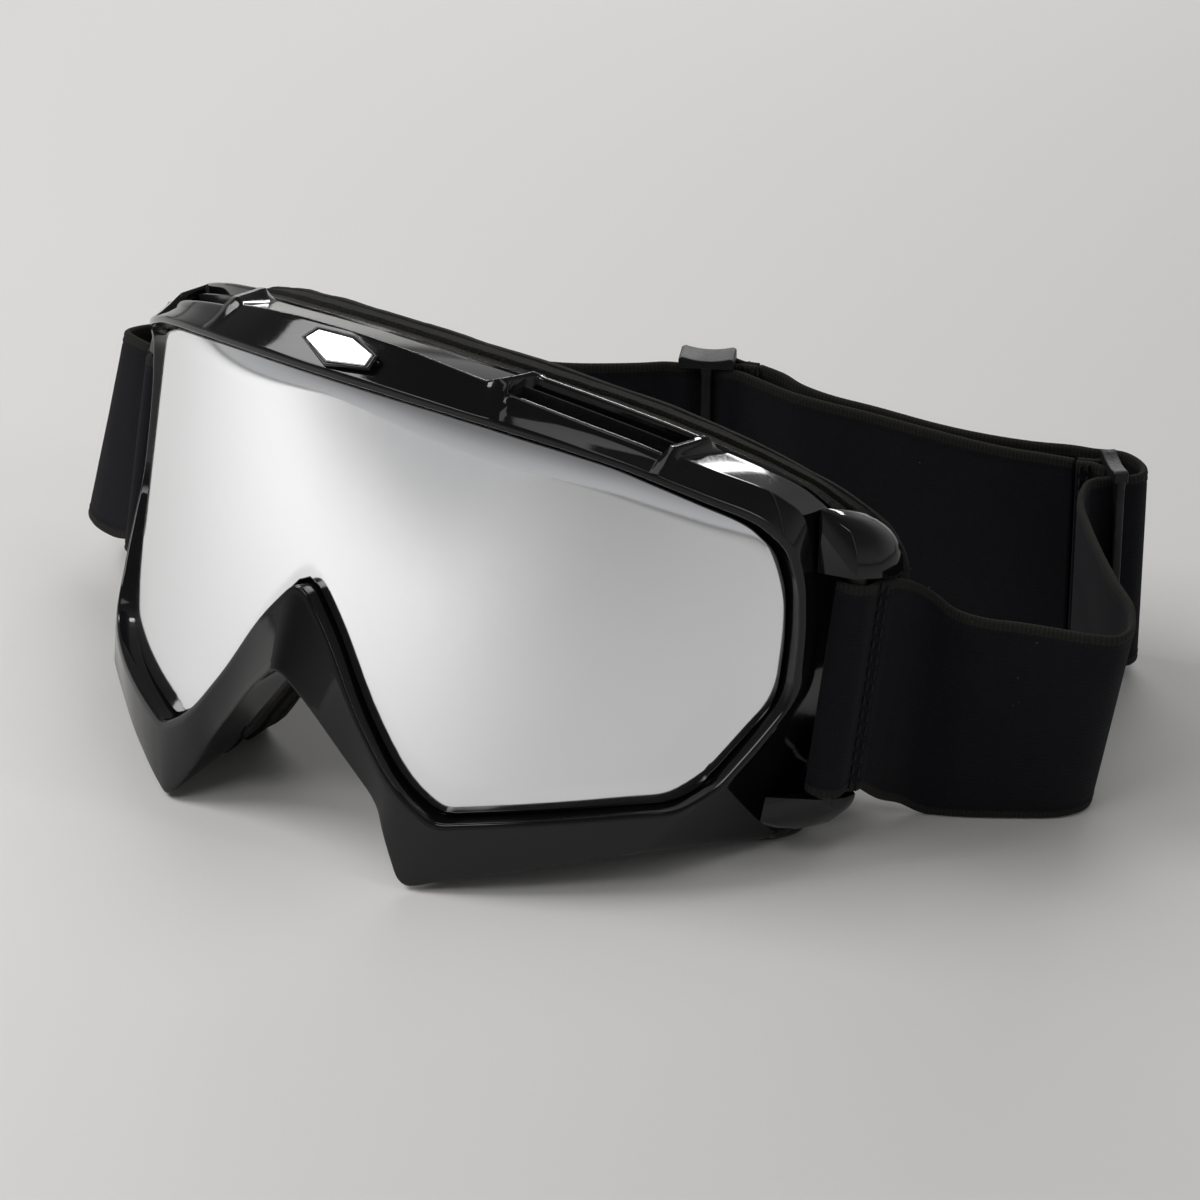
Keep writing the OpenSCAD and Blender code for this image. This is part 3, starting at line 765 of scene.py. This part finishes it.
def plate_points(scale_by, height):
    """The badge's outline, grown by some mm and raised over its pocket."""
    points = []
    for x, y in BADGE_OUTLINE:
        grow = 1 + scale_by / math.hypot(x, y)
        x, y = x * grow, y * grow
        points.append(BADGE_AT + [x, y * math.cos(BADGE_TILT) - height * math.sin(BADGE_TILT),
                                  y * math.sin(BADGE_TILT) + height * math.cos(BADGE_TILT)])
    return leaned(points)


plate = piece("badge_plate", loft([plate_points(0, 0.2), plate_points(0, 1.25)], False), BADGE,
              "goggle", "bright_badge", ["front_badge"])
flattened(bevelled(plate, 0.35))
rim_steps = [(0.15, 0.2), (0.95, 0.2), (0.9, 0.95), (0.7, 1.1), (0.45, 1.1), (0.2, 0.95)]
rim_outlines = np.stack([plate_points(grow, height) for grow, height in rim_steps], 1)
piece("badge_pocket_rim", loft(rim_outlines, True), GLOSS, "goggle", "gloss_shell", ["frame_shell"])
print("badge points:", len(BADGE_OUTLINE))

# %% [markdown]
# **The vents' inserts.** Each top vent has a thin blade across its slot, and a strip of
# open-cell foam lies in the bottom of every vent. Both follow the outer face, so they are
# drawn from shares of it. The foam's top is roughened, because cut foam is never flat.

# %% Blades and filter strips
def face_point(t, share, over):
    """A point at a share of the outer face, standing over it by some mm."""
    a, b = outer_face(station(t))
    return a + (b - a) * share + outward_of(t, outer_face) * over


def strip(side, span, low, high, top, bottom, columns, rows):
    """A strip along the ring with a fine grid on top, as outlines for a loft."""
    outlines = []
    for t in np.linspace(side(span[0]), side(span[1]), columns):
        over = [face_point(t, s, top) for s in np.linspace(low, high, rows)]
        under = [face_point(t, s, bottom) for s in (high, (low + high) / 2, low)]
        outlines.append(leaned(over + under))
    return outlines


# Blender seeds this noise from the clock, so a fixed seed makes every run give the same shapes.
NOISE_SEED = 1
noise.seed_set(NOISE_SEED)


def roughened(shape, amount, size):
    """The shape with its points moved by noise: amount in mm, size in patches to a metre."""
    verts, faces = shape
    moved = [Vector(v) + noise.noise_vector(Vector(v) * size) * amount * MM for v in verts]
    return np.array(moved), faces


def front_point(t, share):
    a, b = front_face(station(t))
    return a + (b - a) * share


LINE_HALF, LINE_OVER, LINE_UNDER = 0.26, 0.26, 0.4


def joint_line(side):
    """Outlines of the dark line that parts the brow from the side pillar."""
    outlines = []
    for share in np.linspace(0, 1, 14):
        here = 7.72 - 0.62 * share
        near, at, far = (front_point(side(here + step), share) for step in (-0.05, 0, 0.05))
        over = outward_of(side(here), front_face)
        half = unit(far - near) * LINE_HALF
        outlines.append(leaned([at - half + over * LINE_OVER, at + half + over * LINE_OVER,
                                at + half - over * LINE_UNDER, at - half - over * LINE_UNDER]))
    return outlines


# Each strip: where it starts and stops, its shares of the face, mm over it, columns and rows.
BLADE = ((3.12, 5.43), 0.30, 0.34, 0.5, -2.6, 24, 3)
FILTERS = {"top": ((3.2, 5.34), 0.1, 0.46, -2.9, -3.5, 60, 14),
           "bottom": ((15.24, 16.66), 0.33, 0.58, -1.4, -2.8, 40, 10)}
for word, side in (("left", lambda t: t), ("right", lambda t: TURN - t)):
    piece(f"joint_line_{word}", loft(joint_line(side), False), BAR, "goggle", "gloss_shell",
          ["frame_shell"])
    blade = strip(side, *BLADE)
    flattened(bevelled(piece(f"vent_blade_{word}", loft(blade, False), LOUVRE, "goggle",
                             "gloss_shell", [f"vent_louvre_{word}"]), 0.18, 2))
    for part, sizes in FILTERS.items():
        piece(f"filter_{part}_{word}", roughened(loft(strip(side, *sizes), False), 0.5, 900),
              FILTER, "goggle", "filter_foam", [f"vent_filter_{part}_{word}"])
print("vents fitted on both sides")

# %% [markdown]
# **The face pad** is three rings glued one behind another, from the rear rim to the face.
# Each has its own rounded section with many points, so that noise can rough it up: the
# base keeps the hard shape of cut sponge, and the fleece is soft, with a rolled edge.

# %% The foam rings
BASE_SHARE, MIDDLE_SHARE = 0.36, 0.76
PAD_STEPS = (5, 9)


def pad_outline(t, near, far, grow, roll):
    """One layer's section: from a share of the foam's depth to another, grown by some mm."""
    st = station(t)
    out, face = st[5:8], st[10:13]
    inner = np.array([st[8], st[6] * 0.95, st[9]])
    depth = face - out
    wide = unit(out - inner) * grow
    corners = [out + depth * near + wide, out + depth * far + wide,
               inner + depth * far - wide * 0.4, inner + depth * near - wide * 0.4]
    radii = [0.3, roll, roll, 0.3]
    return leaned(filled(rounded(corners, radii), PAD_STEPS))


def filled(points, steps):
    """More points along the straight runs of a four-cornered outline."""
    bend = len(BEND)
    out = []
    for k in range(4):
        out += points[k * bend:(k + 1) * bend]
        a, b = points[(k + 1) * bend - 1], points[(k + 1) * bend % len(points)]
        count = steps[k % 2]
        out += [a + (b - a) * i / count for i in range(1, count)]
    return out


# Each layer: share of the depth at its start and end, mm grown, roll of its edge, roughness.
LAYERS = [
    ("base", "foam_base", FOAM_BASE, 0.0, BASE_SHARE, -0.1, 0.3, ((0.1, 500), (0.08, 1500))),
    ("middle", "foam_middle", FOAM_MIDDLE, BASE_SHARE, MIDDLE_SHARE, 0.9, 0.5,
     ((0.12, 200), (0.05, 1400))),
    ("fleece", "fleece", FLEECE, MIDDLE_SHARE, 1.0, 1.2, 1.9, ((0.35, 90), (0.06, 1300)))
]
for word, slot, material, near, far, grow, roll, rough in LAYERS:
    shape = loft([pad_outline(t, near, far, grow, roll) for t in PLAIN_COLUMNS], True)
    for amount, size in rough:
        shape = roughened(shape, amount, size)
    made = piece("pad_" + word, shape, material, "goggle", slot, ["foam_" + word])
    print("pad", word, "faces:", len(made.data.polygons))

# %% [markdown]
# ** The elastic** is two woven tapes, 45 mm wide. They are flat straps that hold their own
# curve, so they are swept and not simulated: each tape follows two given lines, its
# top edge and its foot, and a smooth curve runs through each. A row of a route is the top
# point and the foot, in mm, or [x, y, top, foot] where the tape stands upright.

# %% Routes of the two tapes
LEFT_TAPE = [
    [89.5, 78.6, 53.3, 89.1, 68.9, 11.8], [90.4, 84, 50.8, 89.4, 75, 6.8],
    [92.8, 87.5, 47.8, 90.2, 81.8, 3], [97.6, 88.2, 45.2, 93.4, 85.5, 0.2],
    [104, 88.6, 45, 98.5, 88.2, 0], [110.5, 91, 45, 104, 91.6, 0], [117, 93, 45, 109.5, 95.5, 0],
    [123, 94.6, 45, 114.5, 99.4, 0], [127.6, 98, 44.5, 117, 103, 0],
    [128.2, 101.8, 44.5, 117.6, 107, 0], [126.4, 106, 44.5, 115.8, 111, 0],
    [122.8, 111, 45, 113, 115.5, 0], [115.4, 117.7, 45, 108, 121.5, 0],
    [106.4, 126.7, 45, 102, 129.5, 0], [98.1, 135.7, 45, 96, 137.5, 0.2],
    [92, 143, 45.2, 91.6, 143.6, 1], [89.2, 149.5, 45.6, 1.9], [89.4, 152.2, 45.7, 2],
    [90.8, 154.2, 45.7, 2], [92.56, 155.94, 45.7, 2], [94.3, 157.7, 45.7, 2],
    [95.6, 160, 45.7, 2], [95, 162.8, 45.7, 2], [92, 165.4, 45.7, 2], [87.4, 166.6, 45.7, 2],
    [82.1, 164.6, 45.6, 1.6], [77, 163.6, 45.4, 1], [69, 161, 45, 0.2], [59, 158.2, 45, 0],
    [48, 156.6, 45, 0], [34, 156, 45, 0], [24, 155.2, 45, 0], [16, 155.6, 45.2, 0.6],
    [10, 157.2, 45.6, 1.6], [3.7, 157.9, 45.7, 2]
]
RIGHT_TAPE = [
    [-93.9, 74.8, 54.2, -93.8, 65.1, 12.7], [-98.4, 75.4, 54.4, -100, 66.7, 10.8],
    [-103.4, 77.7, 53.8, -108, 69.6, 10], [-106, 82, 52.4, -113.5, 74.4, 9.6],
    [-105.6, 88.5, 51, -114.5, 82, 8.2], [-102.6, 96, 48.8, -110.5, 92, 5],
    [-98, 103, 46.6, -103.5, 101.5, 1.8], [-92, 109, 45.2, -95, 108.5, 0.2],
    [-84.6, 114, 45, -85.6, 113.6, 0], [-76, 118, 45, 0], [-62, 122.4, 45, 0],
    [-50.9, 126.8, 45, 0], [-40.7, 130.8, 45, 0], [-31, 134.8, 45.2, 0.4], [-24, 139, 45.4, 1],
    [-17.6, 143.6, 45.6, 1.8], [-13.6, 147.06, 45.7, 2], [-9.6, 149.2, 45.7, 2],
    [-6.3, 152.1, 45.7, 2], [-1.6, 151.7, 45.7, 2], [2.5, 152.6, 45.6, 1.6],
    [8, 152.4, 45.2, 0.6], [16, 151.6, 45, 0], [24, 151.8, 45, 0], [34, 152.8, 45, 0],
    [48, 153.6, 45, 0], [59, 154.4, 45, 0], [68, 155.4, 45.2, 0.6], [75, 156.6, 45.6, 1.6],
    [81.4, 158, 45.7, 2]
]
LEFT_CUTS = {"strap_left_side": (0, 8), "strap_left_back": (8, 19),
             "tail_outer_side": (19, 29), "tail_outer_centre": (29, 34)}
RIGHT_CUTS = {"strap_right_side": (0, 9), "strap_right_back": (9, 18),
              "tail_inner_centre": (18, 25), "tail_inner_side": (25, 29)}
SPAN_STEPS = 6


def edges_of(route):
    """The top edge and the foot of a route, as two lists of points."""
    feet = [row[3:] if len(row) == 6 else [*row[:2], row[3]] for row in route]
    return [row[:3] for row in route], feet


def smooth(route, steps):
    """Points of a Catmull-Rom curve through a route."""
    p = np.array(route, float)
    points = []
    for i in range(len(p) - 1):
        a, b, c, d = p[max(i - 1, 0)], p[i], p[i + 1], p[min(i + 2, len(p) - 1)]
        for t in np.arange(steps) / steps:
            points.append(0.5 * (2 * b + (c - a) * t + (2 * a - 5 * b + 4 * c - d) * t * t
                                 + (3 * b - a - 3 * c + d) * t ** 3))
    return np.array(points + [p[-1]])


print("tape points:", len(LEFT_TAPE), "and", len(RIGHT_TAPE))

# %% [markdown]
# The sweep below also stores the "weave" attribute that the elastic's finish reads. Each
# cross-section is a list of places across the tape with half the thickness there: bound
# edges, made of two thin ribs and a groove, at each side of a flat middle.

# %% Sweeping a tape
HALF_THICK = 0.7
TAPE_SECTION = [(0.0, 0.3), (0.35, 0.62), (0.9, 0.74), (1.4, 0.6), (1.8, 0.72), (2.3, 0.76),
                (2.8, 0.56), (3.4, 0.68), (12, 0.7), (22.5, 0.7), (33, 0.7), (41.6, 0.68),
                (42.2, 0.56), (42.7, 0.76), (43.2, 0.72), (43.6, 0.6), (44.1, 0.74),
                (44.65, 0.62), (45.0, 0.3)]


def sides_of(tops, feet):
    """Square to the tape at each point of a route."""
    steps = np.gradient(tops, axis=0) + np.gradient(feet, axis=0)
    return np.array([unit(np.cross(unit(step), unit(top - foot)))
                     for step, top, foot in zip(steps, tops, feet)])


def tape(name, tops, feet, sides, body, nodes, start=0.0):
    """A length of elastic between two lines of points, in mm from the goggles' middle."""
    gaps = np.linalg.norm(np.diff((tops + feet) / 2, axis=0), axis=1)
    run = start + np.concatenate([[0], np.cumsum(gaps)])
    ring = TAPE_SECTION + [(place, -half) for place, half in TAPE_SECTION[::-1]]
    outlines, weave = [], []
    for top, foot, side, along in zip(tops, feet, sides, run):
        down = (foot - top) / TAPE_WIDTH
        outlines.append([top + down * place + side * half for place, half in ring])
        weave += [(along, place, 0) for place, half in ring]
    verts, faces = loft(outlines, False)
    verts[:, 2] = np.maximum(verts[:, 2], 0.02)
    made = piece(name, (table(verts), faces), ELASTIC, body, "elastic", nodes, weld=False)
    made.data.attributes.new("weave", "FLOAT_VECTOR", "POINT").data.foreach_set(
        "vector", np.array(weave, np.float32).ravel())
    return made, run[-1]


# %% [markdown]
# Both ends of each tape are folded round a bar and sewn back. The path of a fold is drawn
# from above: along one side of the tab, round the bar and back along the other side. The
# frame's bars lean with the lens and the sliders' bars stand upright, so each fold is given
# a function that places its points.

# %% Folds
BAR_EYE, LOOP_TAB = 3.0, 7.8
LOOP_FOOT, LOOP_HIGH = 27.2, 42.6


def fold_path(bar, eye, tab, turn, reverse):
    """From above: middle of the bar, radius of the fold, length and direction of its tab."""
    rod = np.array(bar, float)
    ahead = np.array([math.cos(turn), math.sin(turn)])
    beside = np.array([-ahead[1], ahead[0]]) * HALF_THICK * 1.02
    near = eye * 1.55
    reach = (tab, (tab + near) / 2, near)
    opening = math.radians(58)
    arc = [rod + eye * np.array([math.cos(turn + a), math.sin(turn + a)])
           for a in np.linspace(opening, 2 * math.pi - opening, 11)]
    path = smooth([rod + ahead * d + beside for d in reach] + arc +
                  [rod + ahead * d - beside for d in reach[::-1]], 3)
    return path[::-1] if reverse else path


def leaned_mm(points):
    return leaned(points) / MM + ORIGIN


def fold_lines(path, foot, high, to_mm):
    """Top and foot lines of a fold."""
    return [to_mm(np.column_stack([path, np.full(len(path), w)])) for w in (foot + high, foot)]


LOOPS = {"left": ((86.6, 55.5), math.radians(73)), "right": ((-86.6, 55.5), math.radians(145))}
FRAME_FOLDS = {side: fold_lines(fold_path(bar, BAR_EYE, LOOP_TAB, turn, side == "right"),
                                LOOP_FOOT, LOOP_HIGH, leaned_mm)
               for side, (bar, turn) in LOOPS.items()}
print("points round a bar:", len(FRAME_FOLDS["left"][0]))

# %% [markdown]
# The outer layer of a fold runs straight on into the strap, so each tape starts with its
# fold at the frame. It is then cut where the CAD cuts it, because the cut lengths follow
# different joints; the ends meet, so no seam shows.

# %% The tapes
def run_on(line, first, last):
    """A stretch of a line, run on past a cut by a hair so that the light on it runs on too."""
    hair = 0.02
    stretch = [*line[first:last + 1]]
    if first > 0:
        stretch.insert(0, line[first] * (1 - hair) + line[first - 1] * hair)
    if last + 1 < len(line):
        stretch.append(line[last] * (1 - hair) + line[last + 1] * hair)
    return np.array(stretch)


RUNS = {}
for side, cuts, route in (("left", LEFT_CUTS, LEFT_TAPE), ("right", RIGHT_CUTS, RIGHT_TAPE)):
    tops, feet = (smooth(line, SPAN_STEPS) for line in edges_of(route))
    feet[:, 2] = np.maximum(feet[:, 2], 0)
    fold = len(FRAME_FOLDS[side][0])
    tops, feet = (np.concatenate([folded_line, line])
                  for folded_line, line in zip(FRAME_FOLDS[side], (tops, feet)))
    sides = sides_of(tops, feet)
    at = 0.0
    for node, (first, last) in cuts.items():
        begin = fold + first * SPAN_STEPS if first else 0
        lines = [run_on(line, begin, fold + last * SPAN_STEPS) for line in (tops, feet, sides)]
        nodes = [node] if first else [node, f"strap_loop_{side}"]
        RUNS[node], at = tape("tape_" + node, *lines, None, nodes, at)
    print(side, "tape, with its fold at the frame:", round(at), "mm")

# %% [markdown]
# When a strap loop swivels on its bar or a slider slides along the tape, the elastic next
# to it really bends. Here each length only has its placement baked into its mesh; the
# table still names the piece that would pull it and where.

# %% Tapes baked in place
# Each row: the cut length, what moves it, and where, in mm, it follows that and the goggle alone.
BENDS = [
    ("strap_left_side", "left_loop", [89.5, 76, 30], [112, 96, 30]),
    ("strap_right_side", "right_loop", [-95, 76, 30], [-100, 106, 30]),
    ("strap_right_back", "centre_slider", [-14, 146, 22], [-50, 127, 22]),
    ("tail_inner_centre", "centre_slider", [3, 153, 22], [40, 153, 22]),
    ("tail_outer_centre", "centre_slider", [10, 157, 22], [44, 157, 22]),
    ("strap_left_back", "side_slider", [91, 148, 22], [110, 122, 22]),
    ("tail_outer_side", "side_slider", [82, 163, 22], [52, 158, 22]),
    ("tail_inner_side", "side_slider", [78, 157, 22], [52, 154, 22])
]
for node, mover, start, end in BENDS:
    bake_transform(RUNS[node], mover, "goggle", start=tuple(table(start)), end=tuple(table(end)))
print("blended runs:", len(RUNS))

# %% [markdown]
# **The stitching.** The thread is built stitch by stitch, as small rounded rods in two
# rows on each face of the tab. A texture would look flat from the side, and the rods are
# cheap: each has eight sides.

# %% Stitches
STITCH_PITCH = 2.7


def stitches(name, centres, up, across_face, body, node, length=1.9, radius=0.3):
    """Rods of thread: at each centre, lying along up and bulging along across_face."""
    verts, faces = [], []
    for centre in centres:
        rings = []
        for share, width in ((-0.5, 0.1), (-0.42, 0.75), (-0.2, 1), (0.2, 1), (0.42, 0.75), (0.5, 0.1)):
            middle = centre + up * length * share
            side = unit(np.cross(up, across_face))
            rings.append([middle + (side * math.cos(a) + across_face * math.sin(a)) * radius * width
                          for a in np.linspace(0, 2 * math.pi, 8, endpoint=False)])
        shape = loft(rings, False)
        faces += [tuple(k + len(verts) for k in f) for f in shape[1]]
        verts += list(shape[0])
    return piece(name, (table(np.array(verts)), faces), THREAD, body, "thread", [node], weld=False)


def sewn_rows(word, bar, tab, turn, foot, high, to_mm, body, node):
    """Two rows of stitches on each face of a tab, upright in the frame of to_mm."""
    ahead = np.array([math.cos(turn), math.sin(turn), 0])
    beside = np.array([-ahead[1], ahead[0], 0])
    count = int(high / STITCH_PITCH)
    base = np.array([*bar, foot])
    centres = [base + ahead * (tab - reach) + beside * face * (2 * HALF_THICK + 0.12)
               + np.array([0, 0, high * (k + 0.5 + shift) / count])
               for face in (-1, 1) for reach, shift in ((0.9, -0.12), (2.5, 0.12)) for k in range(count)]
    zero = to_mm(np.zeros(3))
    up, out = to_mm(np.array([0, 0, 1.0])) - zero, to_mm(beside) - zero
    stitches("thread_" + word, [to_mm(c) for c in centres], up, out, body, node)
    return len(centres)


for side, (bar, turn) in LOOPS.items():
    count = sewn_rows(side, bar, LOOP_TAB, turn, LOOP_FOOT, LOOP_HIGH, leaned_mm,
                      f"{side}_loop", f"loop_stitching_{side}")
    print("stitches at the frame,", side + ":", count)

# %% [markdown]
# **The sliders** have three bars between two rails. The upper rail ends in raised points
# with a saddle between them, and each bar spreads where it meets a rail, because a sharp
# inner corner would crack. Outlines are extruded for the rails and lofted for the bars.

# %% Slider parts
PITCH, SLIDER_HIGH, RAIL_HIGH = 4.4, 47.6, 1.8
SLIDER_WIDE = 2 * PITCH + 3.0
TAIL_EYE, TAIL_TAB, TAIL_FOOT, TAIL_HIGH = 2.0, 6.5, 1.95, 43.7
SLIDERS = {
    "centre": {"at": (-6.2, 152.3), "turn": 29, "bars": [(-PITCH, 1.3), (0, -2.4), (PITCH, 1.3)],
               "tab": 19},
    "side": {"at": (91, 157.5), "turn": 135, "bars": [(-PITCH, 0), (0, 0), (PITCH, 0)], "tab": 202},
}


def turned(slider, points):
    """Points across, deep and high in a slider, as mm from the goggles' middle."""
    p = np.asarray(points, float)
    a = math.radians(slider["turn"])
    x = slider["at"][0] + p[..., 0] * math.cos(a) - p[..., 1] * math.sin(a)
    y = slider["at"][1] + p[..., 0] * math.sin(a) + p[..., 1] * math.cos(a)
    return np.stack([x, y, p[..., 2]], -1)


def rail_outline(top):
    """A rail from the front, as [across, high]: the upper one has its raised points."""
    half, low = SLIDER_WIDE / 2, (SLIDER_HIGH - RAIL_HIGH if top else 0)
    saddle = [(half * s, low + RAIL_HIGH + (1.0 * s * s if top else 0)) for s in np.linspace(0.86, -0.86, 9)]
    ends = 0.35 if top else -0.2
    return [(-half, low), (half, low), (half, low + RAIL_HIGH + ends), *saddle,
            (-half, low + RAIL_HIGH + ends)]


def slider_pieces(word, slider):
    depths = [bar[1] for bar in slider["bars"]]
    front, back = min(depths) - 1.5, max(depths) + 1.5
    verts, faces = [], []

    def add(shape):
        faces.extend(tuple(k + len(verts) for k in f) for f in shape[1])
        verts.extend(shape[0])

    for top in (False, True):
        add(loft([[(x, y, z) for x, z in rail_outline(top)] for y in (front, back)], False))
    low, high = RAIL_HIGH * 0.6, SLIDER_HIGH - RAIL_HIGH * 0.6
    for x, y in slider["bars"]:
        rings = []
        for z in (low, 2.0, 2.5, 3.4, 5, high / 2, high - 4.4, high - 2.8, high - 1.9, high - 1.4, high):
            near = max(0.0, 1 - min(z - low, high - z) / 2.6)
            wide, deep = 1.15 + 0.5 * near, 1.1 + 0.2 * near
            rings.append([(x + wide * abs(math.cos(a)) ** 0.6 * math.copysign(1, math.cos(a)),
                           y + deep * abs(math.sin(a)) ** 0.6 * math.copysign(1, math.sin(a)), z)
                          for a in np.linspace(0, 2 * math.pi, 20, endpoint=False)])
        add(loft(rings, False))
    made = piece(f"slider_{word}_moulding", (table(turned(slider, verts)), faces), SLIDER,
                 f"{word}_slider", "slider_plastic", [f"slider_{word}"], weld=False)
    flattened(bevelled(made, 0.28, 3, 40))
    x, y = slider["bars"][2]
    bar = turned(slider, [x, y, 0])[:2]
    turn = math.radians(slider["tab"])
    lines = fold_lines(fold_path(bar, TAIL_EYE, TAIL_TAB, turn, False), TAIL_FOOT, TAIL_HIGH, np.asarray)
    tape(f"tail_fold_{word}", *lines, sides_of(*lines), f"{word}_slider", [f"tail_loop_{word}"])
    return sewn_rows(f"tail_{word}", bar, TAIL_TAB, turn, TAIL_FOOT, TAIL_HIGH, np.asarray,
                     f"{word}_slider", f"tail_stitching_{word}")


for word, slider in SLIDERS.items():
    print("stitches on the", word, "slider:", slider_pieces(word, slider))

# %% [markdown]
# The frame's side bars are plain round moulded bars, so the CAD's own shape is right, and
# they only get their finish.

# %% Finishes of the carried-over nodes
for word in ("left", "right"):
    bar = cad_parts[f"strap_bar_{word}"]
    bar.data.materials.clear()
    bar.data.materials.append(BAR)
print("bars finished")

# %% [markdown]
# The goggles stand on a plain pale floor. The pane mirrors that floor and the lamps, so the
# light is set out for the pane: one soft lamp lights the floor on the wearer's right and
# another the floor in front, so the mirror is white there and falls away to grey on the
# other side. Narrow strips behind and beside the frame draw bright lines along its edges.

# %% Floor and light
def paint_floor(place):
    cloud = grain(place, 3, 3.0)
    return {"Base_Color": mix(cloud, (0.70, 0.69, 0.675, 1), (0.75, 0.74, 0.725, 1)),
            "Roughness": 0.62 + cloud * 0.1}


FLOOR_HALF = 1.7
floor_mesh = bpy.data.meshes.new("floor")
floor_mesh.from_pydata([(x * FLOOR_HALF, y * FLOOR_HALF, -0.0002)
                        for x, y in ((-1, -1), (1, -1), (1, 1), (-1, 1))], [], [(0, 1, 2, 3)])
floor = placed("floor", floor_mesh)
floor_mesh.materials.append(finish("pale_floor", paint_floor))
floor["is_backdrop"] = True


def lamp(name, at, look_at, size, power, spread=math.pi):
    """A rectangular soft lamp, in metres, turned towards a point."""
    data = bpy.data.lights.new(name, "AREA")
    data.shape, data.size, data.size_y = "RECTANGLE", size[0], size[1]
    data.energy, data.spread = power, spread
    made = placed(name, data)
    made.location = at
    made.rotation_euler = (Vector(look_at) - Vector(at)).to_track_quat("-Z", "Y").to_euler()


lamp("main_softbox", (-0.8, -0.45, 0.95), (-0.45, -0.35, 0), (0.7, 0.6), 4.4, 1.9)
lamp("front_softbox", (-0.2, -1.45, 1.4), (-0.2, -1.2, 0), (1.1, 0.8), 6.2, 1.5)
lamp("top_softbox", (0.1, 0.35, 0.95), (0, 0, 0), (0.9, 0.35), 1.4)
lamp("back_strip", (-0.45, 0.75, 0.35), (0, 0, 0.05), (0.7, 0.06), 2.2)
lamp("side_strip", (0.85, 0.1, 0.5), (0.05, 0, 0.05), (0.1, 0.6), 0.8)
world = bpy.data.worlds.new("studio")
world.use_nodes = True
sky = Wire(world.node_tree)
height = sky.node("SeparateXYZ", None, {0: sky.node("TexCoord", out=0)}, out=2)
glow = height.steps((0.0, 0.42), (0.1, 0.36), (0.3, 0.16), (1.0, 0.1))
world.node_tree.links.new(glow.socket, world.node_tree.nodes["Background"].inputs["Color"])
world.node_tree.nodes["Background"].inputs["Strength"].default_value = 1.0
bpy.context.scene.world = world
bpy.context.scene.view_settings.view_transform = "Standard"

# %% Sizes and the end
sizes = {"cad": [list(map(float, corner)) for corner in cad_box],
         "visual": [list(map(float, corner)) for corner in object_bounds()]}
print("CAD box:", sizes["cad"])
print("visual box:", sizes["visual"])
